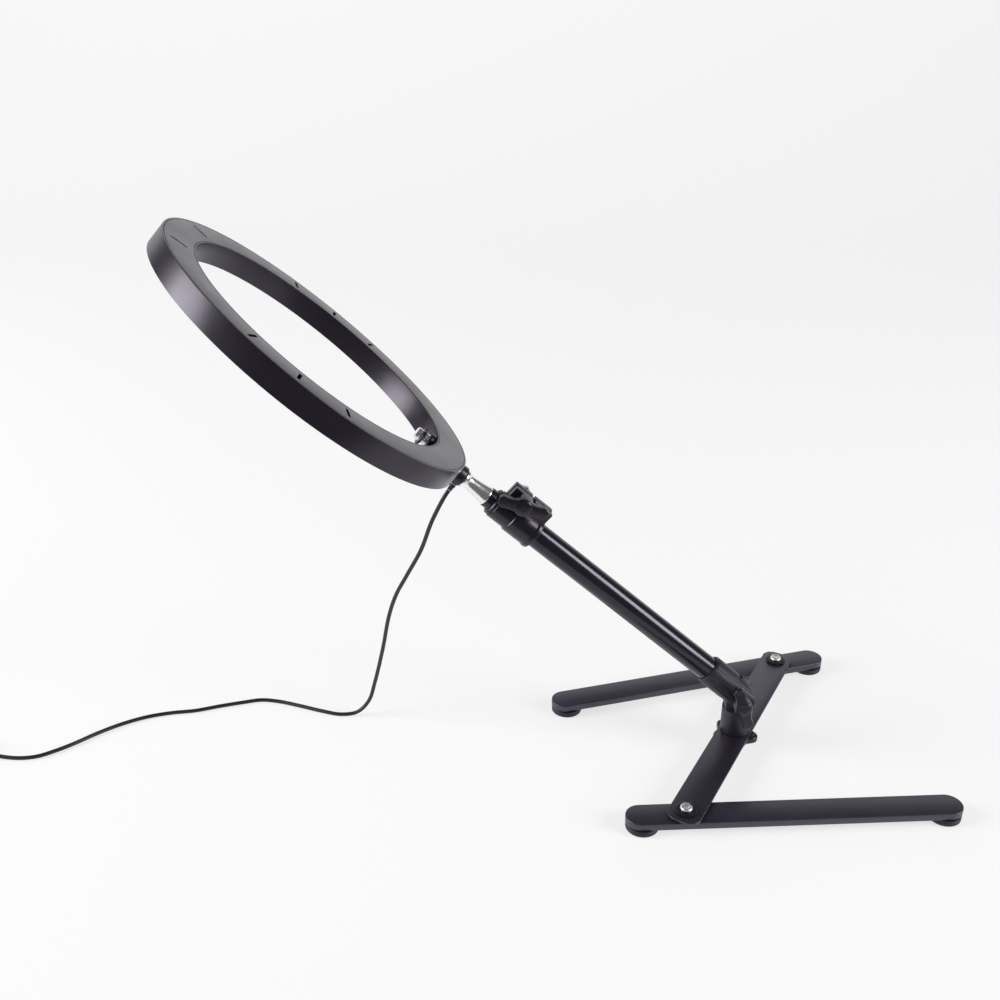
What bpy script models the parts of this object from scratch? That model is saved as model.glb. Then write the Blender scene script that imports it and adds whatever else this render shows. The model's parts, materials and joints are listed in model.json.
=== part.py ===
"""Tabletop LED ring light on a folding stand, as one solid for each real piece. Metres, +Z up.

The stand has a flat crossbar with a swinging leg at each end, a short post that pans on the crossbar,
a tilting telescopic mast, and a ring head that swivels on the mast's spigot. A USB lead with an
in-line controller leaves the mount collar, drops to the table and ends in a coil and its plug.
The front of the stand faces -Y, and the mast leans towards -X.
"""
import math

import bmesh
import bpy
from mathutils import Vector

# --- Driving dimensions -------------------------------------------------------------------------
GAP = 0.0003                      # air between pieces that touch in the real product
POST_AT = Vector((0.1344, -0.0033, 0.0))  # the post's axis, from the centre of the whole footprint

# Base
FOOT_R, FOOT_H = 0.0125, 0.0054
LEG_BOTTOM, LEG_TOP = 0.0057, 0.0116
LEG_HALF_W = 0.0111
LEG_LONG, LEG_SHORT = 0.2079, 0.0448      # pivot to each rounded end
FOOT_INSET = 0.0128                       # foot centre, back from the leg's end
BAR_BOTTOM, BAR_TOP = 0.0124, 0.0142
BAR_HALF_W, BAR_SHIFT, BAR_END, BAR_CHAMFER = 0.0128, -0.0003, 0.0128, 0.0062
PIVOT_SPACING = 0.2235
BAR_DEG, FRONT_LEG_DEG, REAR_LEG_DEG = 61.35, 3.05, 196.0
PIVOT_BOLT_R, PIVOT_HEAD_R, PIVOT_HEAD_H = 0.0030, 0.0047, 0.0020
PIVOT_WASHER_H = 0.0016
BASE_KNOB_R, BASE_KNOB_LOBE, BASE_KNOB_LOBES = 0.0161, 0.0024, 5
BASE_KNOB_BOTTOM, BASE_KNOB_TOP = 0.0062, 0.0115

# Post and tilt hinge
POST_R, POST_DECK_Z = 0.0121, 0.0365
HINGE_Z, HINGE_EYE_R = 0.0490, 0.0108
TONGUE_HALF, EAR_INNER, EAR_OUTER = 0.0061, 0.0064, 0.0105
STUD_R, STUD_HOLE_R = 0.0030, 0.0033
PAN_DEG, ELEVATION_DEG = -0.47, 40.8      # the mast's heading off -X, and its lean above the table

# Mast, as distances along it from the tilt axis
SOCKET_R, SOCKET_RIM = 0.0120, 0.0362
OUTER_TUBE_R, OUTER_TUBE_WALL = 0.0097, 0.0012
OUTER_TUBE_START, OUTER_TUBE_END = 0.0158, 0.2490
INNER_TUBE_R, INNER_TUBE_WALL = 0.0079, 0.0010
INNER_TUBE_START, INNER_TUBE_END = 0.0950, 0.2645
COLLAR_START, COLLAR_STEP, COLLAR_END = 0.2180, 0.2405, 0.2566
COLLAR_LIP_R, COLLAR_R, COLLAR_NECK_R = 0.0129, 0.0123, 0.0112
EAR_TOP, EAR_HALF, EAR_LOW, EAR_HIGH = 0.0217, 0.0062, 0.2197, 0.2544
LOCK_AT_W, LOCK_AT_S = 0.0168, 0.2440
SPIGOT_END = 0.2876
MOUNT_COLLAR_R, MOUNT_COLLAR_END = 0.0080, 0.2959
SPIGOT_STUD_R, SPIGOT_STUD_END = 0.0025, 0.2993

# Wing knobs
WING_HUB_R, WING_TIP_R, WING_REACH = 0.0066, 0.0044, 0.0193
WING_STANDOFF, WING_THICK = 0.0063, 0.0060
LOCK_WING_DEG, HINGE_WING_DEG = -68.0, -73.0

# Ring head
HEAD_AT_S, HEAD_OFFSET, HEAD_ROLL_DEG, RING_PITCH_DEG = 0.4262, 0.0048, 8.06, 0.25
RING_OUT_R, RING_IN_R, RING_THICK = 0.1300, 0.1043, 0.0166
OUT_WALL, IN_WALL = 0.0035, 0.0025
COVER_PLATE, COVER_IN_R, COVER_R = 0.0018, 0.1056, 0.1282
SLOT_R, SLOT_LONG, SLOT_WIDE = 0.1172, 0.0125, 0.0024
SLOT_DEGS = (70.7, 88.7, 106.7, 160.1, 194.7, 247.9, 265.9, 283.9)
LED_COUNT = 40
RING_STEPS = 72
ACCESSORY_BOSS_R, ACCESSORY_STUD_R, ACCESSORY_NUT_R = 0.0066, 0.0046, 0.0069

# USB lead, in the stand's frame (origin on the table under the post)
CORD_R = 0.0016
GLAND_W, GLAND_Y, GLAND_S = -0.0079, -0.0023, 0.2903
GLAND_LONG = 0.0052
CONTROLLER_AT, CONTROLLER_DEG = Vector((-0.6400, -0.0150, 0.0)), 171.0
CONTROLLER_LONG, CONTROLLER_WIDE, CONTROLLER_HIGH = 0.0560, 0.0200, 0.0105
CONTROLLER_SPLIT, CONTROLLER_CORD_Z, BOOT_LONG = 0.0055, 0.0050, 0.0080
BUTTON_XS, BUTTON_R, BUTTON_PROUD = (-0.0150, 0.0, 0.0150), 0.0036, 0.0011
COIL_AT, COIL_LIFT = Vector((-0.6330, -0.0780, 0.0)), 0.0009
COIL_MID_R, COIL_PITCH, COIL_TURNS, COIL_LAYERS = 0.0180, 0.0033, 4, 2
PLUG_AT, PLUG_DEG = Vector((-0.6720, -0.1040, 0.0)), 180.0
PLUG_LONG, PLUG_WIDE, PLUG_HIGH = 0.0260, 0.0155, 0.0080
SHELL_LONG, SHELL_WIDE, SHELL_HIGH, SHELL_WALL = 0.0120, 0.0120, 0.0045, 0.0004

HANG_ROUTE = [  # from the gland down to the table
    (-0.2411, -0.0002, 0.2025), (-0.2503, 0.0049, 0.1754),
    (-0.2621, 0.0110, 0.1502), (-0.2718, 0.0163, 0.1292), (-0.2786, 0.0214, 0.1069),
    (-0.2855, 0.0283, 0.0722), (-0.2942, 0.0338, 0.0352), (-0.3005, 0.0353, 0.0150),
    (-0.3105, 0.0350, 0.0040),
]
TABLE_ROUTE = [  # x and y along the table, to the controller's boot
    (-0.3240, 0.0345), (-0.3410, 0.0390), (-0.3600, 0.0460), (-0.3800, 0.0525), (-0.3950, 0.0545),
    (-0.4100, 0.0510), (-0.4290, 0.0455), (-0.4480, 0.0392), (-0.4680, 0.0358), (-0.4870, 0.0300),
    (-0.5050, 0.0203), (-0.5210, 0.0082), (-0.5365, -0.0060), (-0.5485, -0.0152), (-0.5605, -0.0220),
    (-0.5745, -0.0240),
]
TAIL_ROUTE = [  # x and y along the table, from the controller's far boot towards the coil
    (-0.6930, -0.0120), (-0.7010, -0.0260), (-0.6960, -0.0420), (-0.6800, -0.0505), (-0.6600, -0.0528),
]

PARTS = "ring_light_on_folding_stand"


# --- Scene and materials ------------------------------------------------------------------------
def clear_scene():
    for obj in list(bpy.data.objects):
        bpy.data.objects.remove(obj, do_unlink=True)
    for group in list(bpy.data.collections):
        bpy.data.collections.remove(group)


def collection(name):
    made = bpy.data.collections.new(name)
    bpy.context.scene.collection.children.link(made)
    return made


def material(name, colour, roughness, metallic=0.0):
    made = bpy.data.materials.new(name)
    made.use_nodes = True
    shader = made.node_tree.nodes["Principled BSDF"]
    shader.inputs["Base Color"].default_value = (*colour, 1.0)
    shader.inputs["Roughness"].default_value = roughness
    shader.inputs["Metallic"].default_value = metallic
    return made


def radians(*degrees):
    return [math.radians(angle) for angle in degrees]


def frame(name, parent=None, location=(0, 0, 0), degrees=(0, 0, 0)):
    """An empty that holds the pieces which turn or slide together."""
    empty = bpy.data.objects.new(name, None)
    empty.empty_display_size = 0.02
    empty.parent = parent
    empty.location = location
    empty.rotation_euler = radians(*degrees)
    parts.objects.link(empty)
    return empty


# --- Shapes -------------------------------------------------------------------------------------
def smooth(mesh, limit_deg=35):
    mesh.shade_smooth()
    mesh.set_sharp_from_angle(angle=math.radians(limit_deg))


def placed(name, mesh, parent, look, location=(0, 0, 0), degrees=(0, 0, 0)):
    obj = bpy.data.objects.new(name, mesh)
    parts.objects.link(obj)
    obj.parent = parent
    obj.location = location
    obj.rotation_euler = radians(*degrees)
    if look:
        mesh.materials.clear()
        mesh.materials.append(look)
    return obj


def baked(obj):
    """The object's evaluated mesh, with coincident points made one. The object itself is removed."""
    bpy.context.view_layer.update()
    graph = bpy.context.evaluated_depsgraph_get()
    mesh = bpy.data.meshes.new_from_object(obj.evaluated_get(graph))
    shape = bmesh.new()
    shape.from_mesh(mesh)
    bmesh.ops.remove_doubles(shape, verts=shape.verts, dist=0.000001)
    shape.to_mesh(mesh)
    shape.free()
    bpy.data.objects.remove(obj, do_unlink=True)
    return mesh


def turned_mesh(profile, steps=32, closed=False):
    """(radius, height) points that run down the outer side, turned about Z."""
    count = len(profile)
    edges = [(i, i + 1) for i in range(count - 1)]
    if closed:
        edges.append((count - 1, 0))
    mesh = bpy.data.meshes.new("turned")
    mesh.from_pydata([(radius, 0.0, height) for radius, height in profile], edges, [])
    obj = bpy.data.objects.new("turned", mesh)
    parts.objects.link(obj)
    screw = obj.modifiers.new("Turn", "SCREW")
    screw.axis = "Z"
    screw.steps = steps
    screw.render_steps = steps
    screw.use_merge_vertices = True
    screw.merge_threshold = 0.00001
    made = baked(obj)
    smooth(made)
    return made


def ring_mesh(inner, outer, bottom, top, steps=32):
    """A flat ring or a plain tube."""
    return turned_mesh([(outer, top), (outer, bottom), (inner, bottom), (inner, top)], steps, True)


def rod_mesh(radius, bottom, top, sides=24, tip_radius=None):
    shape = bmesh.new()
    bmesh.ops.create_cone(
        shape, cap_ends=True, segments=sides, radius1=radius,
        radius2=radius if tip_radius is None else tip_radius, depth=top - bottom,
    )
    bmesh.ops.translate(shape, verts=shape.verts, vec=(0, 0, (top + bottom) / 2))
    mesh = bpy.data.meshes.new("rod")
    shape.to_mesh(mesh)
    shape.free()
    smooth(mesh)
    return mesh


def box_mesh(low, high):
    low, high = Vector(low), Vector(high)
    shape = bmesh.new()
    bmesh.ops.create_cube(shape, size=1.0)
    bmesh.ops.scale(shape, verts=shape.verts, vec=high - low)
    bmesh.ops.translate(shape, verts=shape.verts, vec=(high + low) / 2)
    mesh = bpy.data.meshes.new("box")
    shape.to_mesh(mesh)
    shape.free()
    return mesh


def plate_mesh(outline, bottom, top):
    """A flat outline in XY, filled and extruded to the given heights."""
    curve = bpy.data.curves.new("outline", "CURVE")
    curve.dimensions = "2D"
    curve.fill_mode = "BOTH"
    curve.extrude = (top - bottom) / 2
    line = curve.splines.new("POLY")
    line.points.add(len(outline) - 1)
    for point, (x, y) in zip(line.points, outline):
        point.co = (x, y, 0.0, 1.0)
    line.use_cyclic_u = True
    obj = bpy.data.objects.new("outline", curve)
    parts.objects.link(obj)
    mesh = baked(obj)
    for vertex in mesh.vertices:
        vertex.co.z += (top + bottom) / 2
    smooth(mesh, 30)
    return mesh


def boolean(obj, operation, mesh, parent=None, location=(0, 0, 0), degrees=(0, 0, 0)):
    """Cuts, joins or trims obj with a hidden helper, which stands in parent's frame (obj's by default)."""
    helper = bpy.data.objects.new(f"{obj.name}_{operation.lower()}", mesh)
    cutters.objects.link(helper)
    helper.parent = parent or obj.parent
    helper.location = location
    helper.rotation_euler = radians(*degrees)
    helper.hide_render = True
    helper.display_type = "WIRE"
    modifier = obj.modifiers.new(operation.title(), "BOOLEAN")
    modifier.operation = operation
    modifier.solver = "EXACT"
    modifier.object = helper


def arc(centre, radius, start_deg, end_deg, count):
    """count + 1 points on an arc."""
    angles = [math.radians(start_deg + (end_deg - start_deg) * i / count) for i in range(count + 1)]
    return [(centre[0] + radius * math.cos(a), centre[1] + radius * math.sin(a)) for a in angles]


def hexagon(radius):
    return arc((0, 0), radius, 0, 300, 5)


def smooth_curve(points, spacing):
    """Evenly spaced points on a centripetal Catmull-Rom curve through the given ones."""
    points = [Vector(p) for p in points]
    chain = [points[0] * 2 - points[1], *points, points[-1] * 2 - points[-2]]
    fine = []
    for a, b, c, d in zip(chain, chain[1:], chain[2:], chain[3:]):
        knots = [0.0]
        for p, q in ((a, b), (b, c), (c, d)):
            knots.append(knots[-1] + max((q - p).length, 1e-9) ** 0.5)
        t0, t1, t2, t3 = knots
        for i in range(12):
            t = t1 + (t2 - t1) * i / 12
            ab = a * ((t1 - t) / (t1 - t0)) + b * ((t - t0) / (t1 - t0))
            bc = b * ((t2 - t) / (t2 - t1)) + c * ((t - t1) / (t2 - t1))
            cd = c * ((t3 - t) / (t3 - t2)) + d * ((t - t2) / (t3 - t2))
            abc = ab * ((t2 - t) / (t2 - t0)) + bc * ((t - t0) / (t2 - t0))
            bcd = bc * ((t3 - t) / (t3 - t1)) + cd * ((t - t1) / (t3 - t1))
            fine.append(abc * ((t2 - t) / (t2 - t1)) + bcd * ((t - t1) / (t2 - t1)))
    fine.append(points[-1])
    length = sum((q - p).length for p, q in zip(fine, fine[1:]))
    step = length / max(1, round(length / spacing))
    spaced, travelled, due = [fine[0]], 0.0, step
    for p, q in zip(fine, fine[1:]):
        stretch = (q - p).length
        while due < travelled + stretch - 1e-9:
            spaced.append(p.lerp(q, (due - travelled) / stretch))
            due += step
        travelled += stretch
    if (spaced[-1] - fine[-1]).length < step / 2:
        spaced.pop()
    spaced.append(fine[-1])
    return spaced


def cord_mesh(points):
    """A tube of the lead's own thickness along the points."""
    curve = bpy.data.curves.new("lead", "CURVE")
    curve.dimensions = "3D"
    curve.bevel_depth = CORD_R
    curve.bevel_resolution = 2
    curve.use_fill_caps = True
    line = curve.splines.new("POLY")
    line.points.add(len(points) - 1)
    for point, place in zip(line.points, points):
        point.co = (*place, 1.0)
    obj = bpy.data.objects.new("lead", curve)
    parts.objects.link(obj)
    made = baked(obj)
    smooth(made, 60)
    return made


# --- Base ---------------------------------------------------------------------------------------
def make_crossbar(base):
    half = PIVOT_SPACING / 2
    end, corner = half + BAR_END, BAR_CHAMFER
    quarter = [(end - corner, BAR_HALF_W), (end - corner * 0.3, BAR_HALF_W - corner * 0.45),
               (end, BAR_HALF_W - corner * 1.2)]
    outline = (
        [(x, -y) for x, y in quarter] + quarter[::-1]
        + [(-x, y) for x, y in quarter] + [(-x, -y) for x, y in quarter[::-1]]
    )
    outline = [(x, y + BAR_SHIFT) for x, y in outline]
    bar = placed("crossbar", plate_mesh(outline, BAR_BOTTOM, BAR_TOP), base, looks["satin_metal"],
                 degrees=(0, 0, BAR_DEG))
    hole = rod_mesh(STUD_HOLE_R, 0.010, 0.016)
    for along in (-half, 0.0, half):
        place = (along * math.cos(math.radians(BAR_DEG)), along * math.sin(math.radians(BAR_DEG)), 0)
        boolean(bar, "DIFFERENCE", hole, base, place)
    locating_hole = 0.0781
    place = (locating_hole * math.cos(math.radians(71.6)), locating_hole * math.sin(math.radians(71.6)), 0)
    boolean(bar, "DIFFERENCE", rod_mesh(0.0013, 0.010, 0.016, 16), base, place)


def make_leg(side, swing):
    """A leg and its two feet. The frame stands on the pivot, with the long end towards its +X."""
    nose = [(x + LEG_LONG - LEG_HALF_W, y) for x, y in arc((0, 0), LEG_HALF_W, -90, 90, 12)]
    heel = [(x - LEG_SHORT + LEG_HALF_W, y) for x, y in arc((0, 0), LEG_HALF_W, 90, 270, 12)]
    leg = placed(f"leg_{side}", plate_mesh(nose + heel, LEG_BOTTOM, LEG_TOP), swing,
                 looks["satin_metal"])
    boolean(leg, "DIFFERENCE", rod_mesh(STUD_HOLE_R, 0.0, 0.02))
    for end, x in (("long", LEG_LONG - FOOT_INSET), ("short", FOOT_INSET - LEG_SHORT)):
        profile = [(0, FOOT_H), (FOOT_R, FOOT_H), (FOOT_R, 0.0012), (FOOT_R - 0.0012, 0), (0, 0)]
        placed(f"foot_{side}_{end}", turned_mesh(profile, 24), swing, looks["rubber"], (x, 0, 0))


def make_pivot(side, base, place):
    """The bolt, its washers and its nut, all held by the crossbar."""
    low = BAR_TOP + GAP
    ring = ring_mesh(STUD_HOLE_R, 0.0083, low, low + PIVOT_WASHER_H, 24)
    placed(f"pivot_washer_{side}", ring, base, looks["nylon"], place)
    under_head = low + PIVOT_WASHER_H + GAP
    profile = [
        (0, under_head + PIVOT_HEAD_H), (PIVOT_HEAD_R * 0.55, under_head + PIVOT_HEAD_H * 0.92),
        (PIVOT_HEAD_R * 0.88, under_head + PIVOT_HEAD_H * 0.6), (PIVOT_HEAD_R, under_head),
        (PIVOT_BOLT_R, under_head), (PIVOT_BOLT_R, 0.0016), (0, 0.0016),
    ]
    placed(f"pivot_bolt_{side}", turned_mesh(profile, 24), base, looks["chrome"], place)
    spacer = ring_mesh(STUD_HOLE_R, 0.0090, LEG_TOP + 0.0002, BAR_BOTTOM - 0.0002, 24)
    placed(f"pivot_spacer_{side}", spacer, base, looks["nylon"], place)
    nut = placed(f"pivot_nut_{side}", plate_mesh(hexagon(0.0058), 0.0022, LEG_BOTTOM - GAP), base,
                 looks["chrome"], place)
    boolean(nut, "DIFFERENCE", rod_mesh(STUD_HOLE_R, 0.0, 0.01), base, place)


def make_base_knob(turning):
    """The lobed knob under the crossbar and the stud that it turns up into the post."""
    outline = []
    for i in range(80):
        angle = math.tau * i / 80
        radius = BASE_KNOB_R + BASE_KNOB_LOBE * math.cos(BASE_KNOB_LOBES * angle)
        outline.append((radius * math.cos(angle), radius * math.sin(angle)))
    knob = placed("base_knob", plate_mesh(outline, BASE_KNOB_BOTTOM, BASE_KNOB_TOP), turning,
                  looks["black_plastic"])
    boolean(knob, "DIFFERENCE", rod_mesh(STUD_HOLE_R, 0.0080, 0.02))
    placed("base_stud", rod_mesh(STUD_R, 0.0083, 0.0300), turning, looks["steel"])
    placed("base_washer", ring_mesh(STUD_HOLE_R, 0.0100, BASE_KNOB_TOP + 0.0002, BAR_BOTTOM - 0.0002),
           turning, looks["steel"])


# --- Post and tilt hinge ------------------------------------------------------------------------
def make_post(pan):
    """A round post whose top is a flat tongue, rounded about the tilt axis."""
    crown = HINGE_Z + HINGE_EYE_R + 0.0010
    post = placed("post", rod_mesh(POST_R, BAR_TOP + GAP, crown, 40), pan, looks["black_plastic"])
    outline = [(-0.02, 0.0), (0.02, 0.0), (0.02, POST_DECK_Z), (HINGE_EYE_R, POST_DECK_Z)]
    outline += arc((0, HINGE_Z), HINGE_EYE_R, 0, 180, 20) + [(-HINGE_EYE_R, POST_DECK_Z), (-0.02, POST_DECK_Z)]
    boolean(post, "INTERSECT", plate_mesh(outline, -0.02, 0.02), degrees=(90, 0, 0))
    for side in (-1, 1):
        near, far = sorted((side * TONGUE_HALF, side * 0.02))
        boolean(post, "DIFFERENCE", box_mesh((-0.02, near, POST_DECK_Z), (0.02, far, 0.08)))
    boolean(post, "DIFFERENCE", rod_mesh(STUD_HOLE_R, -0.02, 0.02), None, (0, 0, HINGE_Z), (90, 0, 0))
    boolean(post, "DIFFERENCE", rod_mesh(STUD_HOLE_R, 0.0, 0.0305))


def make_tube_socket(mast):
    """The knuckle on the mast: a fork that straddles the post's tongue, and a blind socket for the tube."""
    reach, bore, floor = HINGE_EYE_R + 0.0004, OUTER_TUBE_R + GAP, OUTER_TUBE_START - GAP
    profile = [
        (0, floor), (bore, floor), (bore, SOCKET_RIM), (bore + 0.0004, SOCKET_RIM),
        (SOCKET_R, SOCKET_RIM - 0.0022), (SOCKET_R, -0.0125), (0, -0.0125),
    ]
    socket = placed("tube_socket", turned_mesh(profile, 40), mast, looks["black_plastic"])
    outline = arc((0, 0), reach, 180, 360, 20)
    outline += [(reach, 0.0010), (0.02, 0.0010), (0.02, 0.06), (-0.02, 0.06), (-0.02, 0.0010), (-reach, 0.0010)]
    boolean(socket, "INTERSECT", plate_mesh(outline, -0.02, 0.02), degrees=(90, 0, 0))
    slot = box_mesh((-0.02, -EAR_INNER, -0.02), (0.02, EAR_INNER, HINGE_EYE_R + 0.0008))
    boolean(socket, "DIFFERENCE", slot)
    for side in (-1, 1):
        near, far = sorted((side * EAR_OUTER, side * 0.02))
        boolean(socket, "DIFFERENCE", box_mesh((-0.02, near, -0.02), (0.02, far, 0.0085)))
    boolean(socket, "DIFFERENCE", rod_mesh(STUD_HOLE_R, -0.02, 0.02), degrees=(90, 0, 0))


def wing_outline(direction_deg):
    """Two tapering wings with round tips, joined to a round hub by hollow sides."""
    tip_at = WING_REACH - WING_TIP_R
    upper = arc((tip_at, 0), WING_TIP_R, 0, 100, 8)
    (x0, y0), (x2, y2) = upper[-1], arc((0, 0), WING_HUB_R, 52, 52, 1)[0]
    x1, y1 = (x0 + x2) / 2, min(y0, y2) * 0.78
    for t in (0.25, 0.5, 0.75):
        a, b, c = (1 - t) ** 2, 2 * t * (1 - t), t * t
        upper.append((a * x0 + b * x1 + c * x2, a * y0 + b * y1 + c * y2))
    upper += arc((0, 0), WING_HUB_R, 52, 90, 4)
    half = upper + [(-x, y) for x, y in upper[-2::-1]]
    outline = half + [(x, -y) for x, y in half[-2:0:-1]]
    cos, sin = math.cos(math.radians(direction_deg)), math.sin(math.radians(direction_deg))
    return [(x * cos - y * sin, x * sin + y * cos) for x, y in outline]


def make_wing_knob(name, turning, face, stud_to, direction_deg):
    """A wing knob and its stud on the frame's +Z axis. face is where the knob meets the clamped piece."""
    wing = face + WING_STANDOFF
    knob = placed(f"{name}_knob", plate_mesh(wing_outline(direction_deg), wing, wing + WING_THICK),
                  turning, looks["black_plastic"])
    crown = wing + WING_THICK
    hub = [(0, crown + 0.0009), (WING_HUB_R * 0.45, crown + 0.0008), (WING_HUB_R * 0.8, crown + 0.0004),
           (WING_HUB_R + 0.0004, crown - 0.0004), (WING_HUB_R + 0.0004, face), (0, face)]
    boolean(knob, "UNION", turned_mesh(hub, 28))
    boolean(knob, "DIFFERENCE", rod_mesh(STUD_HOLE_R, face - 0.01, wing + 0.0040))
    placed(f"{name}_stud", rod_mesh(STUD_R, stud_to, wing + 0.0037), turning, looks["steel"])


def make_hex_nut(name, parent, location, degrees, height):
    nut = placed(name, plate_mesh(hexagon(0.0058), 0.0, height), parent, looks["steel"], location, degrees)
    boolean(nut, "DIFFERENCE", rod_mesh(STUD_HOLE_R, -0.001, height + 0.001), parent, location, degrees)


# --- Mast ---------------------------------------------------------------------------------------
def make_tubes(mast, slider):
    outer = ring_mesh(OUTER_TUBE_R - OUTER_TUBE_WALL, OUTER_TUBE_R, OUTER_TUBE_START, OUTER_TUBE_END, 36)
    placed("outer_tube", outer, mast, looks["gloss_black"])
    inner = ring_mesh(INNER_TUBE_R - INNER_TUBE_WALL, INNER_TUBE_R, INNER_TUBE_START, INNER_TUBE_END, 32)
    placed("inner_tube", inner, slider, looks["gloss_black"])
    bore = OUTER_TUBE_R - OUTER_TUBE_WALL - GAP
    plug = INNER_TUBE_R - INNER_TUBE_WALL - GAP
    start = INNER_TUBE_START
    profile = [
        (0, start + 0.010), (plug, start + 0.010), (plug, start - GAP), (bore, start - GAP),
        (bore, start - 0.006), (0, start - 0.006),
    ]
    placed("inner_tube_foot", turned_mesh(profile, 28), slider, looks["nylon"])


def make_lock_collar(mast):
    """The clamp on top of the outer tube: a turned body, two ears with a slit, and a bore for the bolt."""
    bore = OUTER_TUBE_R + GAP
    profile = [
        (COLLAR_NECK_R - 0.0006, COLLAR_END), (COLLAR_NECK_R, COLLAR_END - 0.0006),
        (COLLAR_NECK_R, COLLAR_STEP), (COLLAR_R, COLLAR_STEP), (COLLAR_R, COLLAR_START + 0.0040),
        (COLLAR_LIP_R, COLLAR_START + 0.0030), (COLLAR_LIP_R, COLLAR_START + 0.0006),
        (COLLAR_LIP_R - 0.0015, COLLAR_START), (bore, COLLAR_START), (bore, COLLAR_END),
    ]
    collar = placed("lock_collar", turned_mesh(profile, 40, True), mast, looks["black_plastic"])
    boolean(collar, "UNION", box_mesh((0.0060, -EAR_HALF, EAR_LOW), (EAR_TOP, EAR_HALF, EAR_HIGH)))
    boolean(collar, "DIFFERENCE", rod_mesh(bore, COLLAR_START - 0.01, COLLAR_END + 0.01, 40))
    slit = box_mesh((0.0050, -0.0010, COLLAR_START - 0.01), (0.03, 0.0010, COLLAR_END + 0.01))
    boolean(collar, "DIFFERENCE", slit)
    notch = box_mesh((EAR_TOP - 0.0022, -0.02, 0.2362), (0.03, 0.02, 0.2388))
    boolean(collar, "DIFFERENCE", notch)
    hole = rod_mesh(STUD_HOLE_R, -0.02, 0.02)
    boolean(collar, "DIFFERENCE", hole, None, (LOCK_AT_W, 0, LOCK_AT_S), (90, 0, 0))


def make_guide_bush(mast):
    """The plastic sleeve in the mouth of the collar that the inner tube runs in."""
    bore, top = INNER_TUBE_R + GAP, COLLAR_END + 0.0031
    profile = [
        (0.0092, top), (0.0104, top - 0.0009), (0.0104, COLLAR_END + GAP), (OUTER_TUBE_R, COLLAR_END + GAP),
        (OUTER_TUBE_R, OUTER_TUBE_END + GAP), (bore, OUTER_TUBE_END + GAP), (bore, top),
    ]
    placed("guide_bush", turned_mesh(profile, 32, True), mast, looks["nylon"])


def make_spigot(slider):
    """A bright spigot with a flared foot, a waist and a flange, its plug in the tube and its stud."""
    plug, base = INNER_TUBE_R - INNER_TUBE_WALL - GAP, INNER_TUBE_END + GAP
    profile = [
        (0, SPIGOT_STUD_END), (SPIGOT_STUD_R, SPIGOT_STUD_END), (SPIGOT_STUD_R, SPIGOT_END),
        (0.0068, SPIGOT_END), (0.0070, SPIGOT_END - 0.0024), (0.0056, SPIGOT_END - 0.0040),
        (0.0057, 0.2800), (0.0064, 0.2720), (0.0075, base + 0.0006), (0.0075, base),
        (plug, base), (plug, base - 0.0140), (0, base - 0.0140),
    ]
    placed("spigot", turned_mesh(profile, 32), slider, looks["chrome"])


def make_mount_collar(slider):
    """The black collar under the ring, which the ring swivels on and the lead comes out of."""
    bore = SPIGOT_STUD_R + GAP
    profile = [
        (MOUNT_COLLAR_R, MOUNT_COLLAR_END), (MOUNT_COLLAR_R, SPIGOT_END + GAP + 0.0005),
        (MOUNT_COLLAR_R - 0.0005, SPIGOT_END + GAP), (bore, SPIGOT_END + GAP), (bore, MOUNT_COLLAR_END),
    ]
    placed("mount_collar", turned_mesh(profile, 32, True), slider, looks["black_plastic"])


def make_gland(slider):
    """A tapered strain relief on the collar, pointing the way the lead leaves it."""
    outline = [(0, GLAND_LONG), (0.0019, GLAND_LONG), (0.0024, 0.0015), (0.0024, 0.0), (0, 0.0)]
    gland = placed("cord_gland", turned_mesh(outline, 20), slider, looks["rubber"],
                   (GLAND_W, GLAND_Y, GLAND_S), GLAND_DEGREES)
    boolean(gland, "DIFFERENCE", rod_mesh(MOUNT_COLLAR_R + GAP, 0.28, 0.30, 40))


# --- Ring head, in a frame with its +Z out of the ring's back and +X towards the mast -------------
def make_back_cover(ring):
    """A flat plate let into the housing's back, with slots through it."""
    top = RING_THICK / 2
    plate = ring_mesh(COVER_IN_R, COVER_R, top - COVER_PLATE, top, RING_STEPS)
    cover = placed("back_cover", plate, ring, looks["head_plastic"])
    slot = box_mesh((-SLOT_LONG / 2, -SLOT_WIDE / 2, top - 0.004), (SLOT_LONG / 2, SLOT_WIDE / 2, top + 0.002))
    for angle in SLOT_DEGS:
        x, y = SLOT_R * math.cos(math.radians(angle)), SLOT_R * math.sin(math.radians(angle))
        boolean(cover, "DIFFERENCE", slot, ring, (x, y, 0), (0, 0, angle))


def make_ring_housing(ring, slider):
    """Two walls, with a rim round the cover, joined by a web that carries the LED board.

    A bore in the outer wall takes the spigot's stud.
    """
    top, low = RING_THICK / 2, -RING_THICK / 2
    ledge, web_top, web_bottom = top - COVER_PLATE - GAP, top - 0.0040, top - 0.0052
    outer, outer_face = RING_OUT_R, RING_OUT_R - OUT_WALL
    inner, inner_face = RING_IN_R, RING_IN_R + IN_WALL
    profile = [
        (COVER_R + GAP, top), (outer - 0.0010, top), (outer, top - 0.0010), (outer, low + 0.0006),
        (outer - 0.0006, low), (outer_face, low), (outer_face, web_bottom), (inner_face, web_bottom),
        (inner_face, low), (inner + 0.0006, low), (inner, low + 0.0006), (inner, top - 0.0004),
        (inner + 0.0004, top), (COVER_IN_R - GAP, top), (COVER_IN_R - GAP, ledge), (inner_face, ledge),
        (inner_face, web_top), (outer_face, web_top), (outer_face, ledge), (COVER_R + GAP, ledge),
    ]
    housing = placed("ring_housing", turned_mesh(profile, RING_STEPS, True), ring, looks["head_plastic"])
    boolean(housing, "DIFFERENCE", rod_mesh(SPIGOT_STUD_R + GAP, 0.2850, 0.3010), slider)


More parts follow.
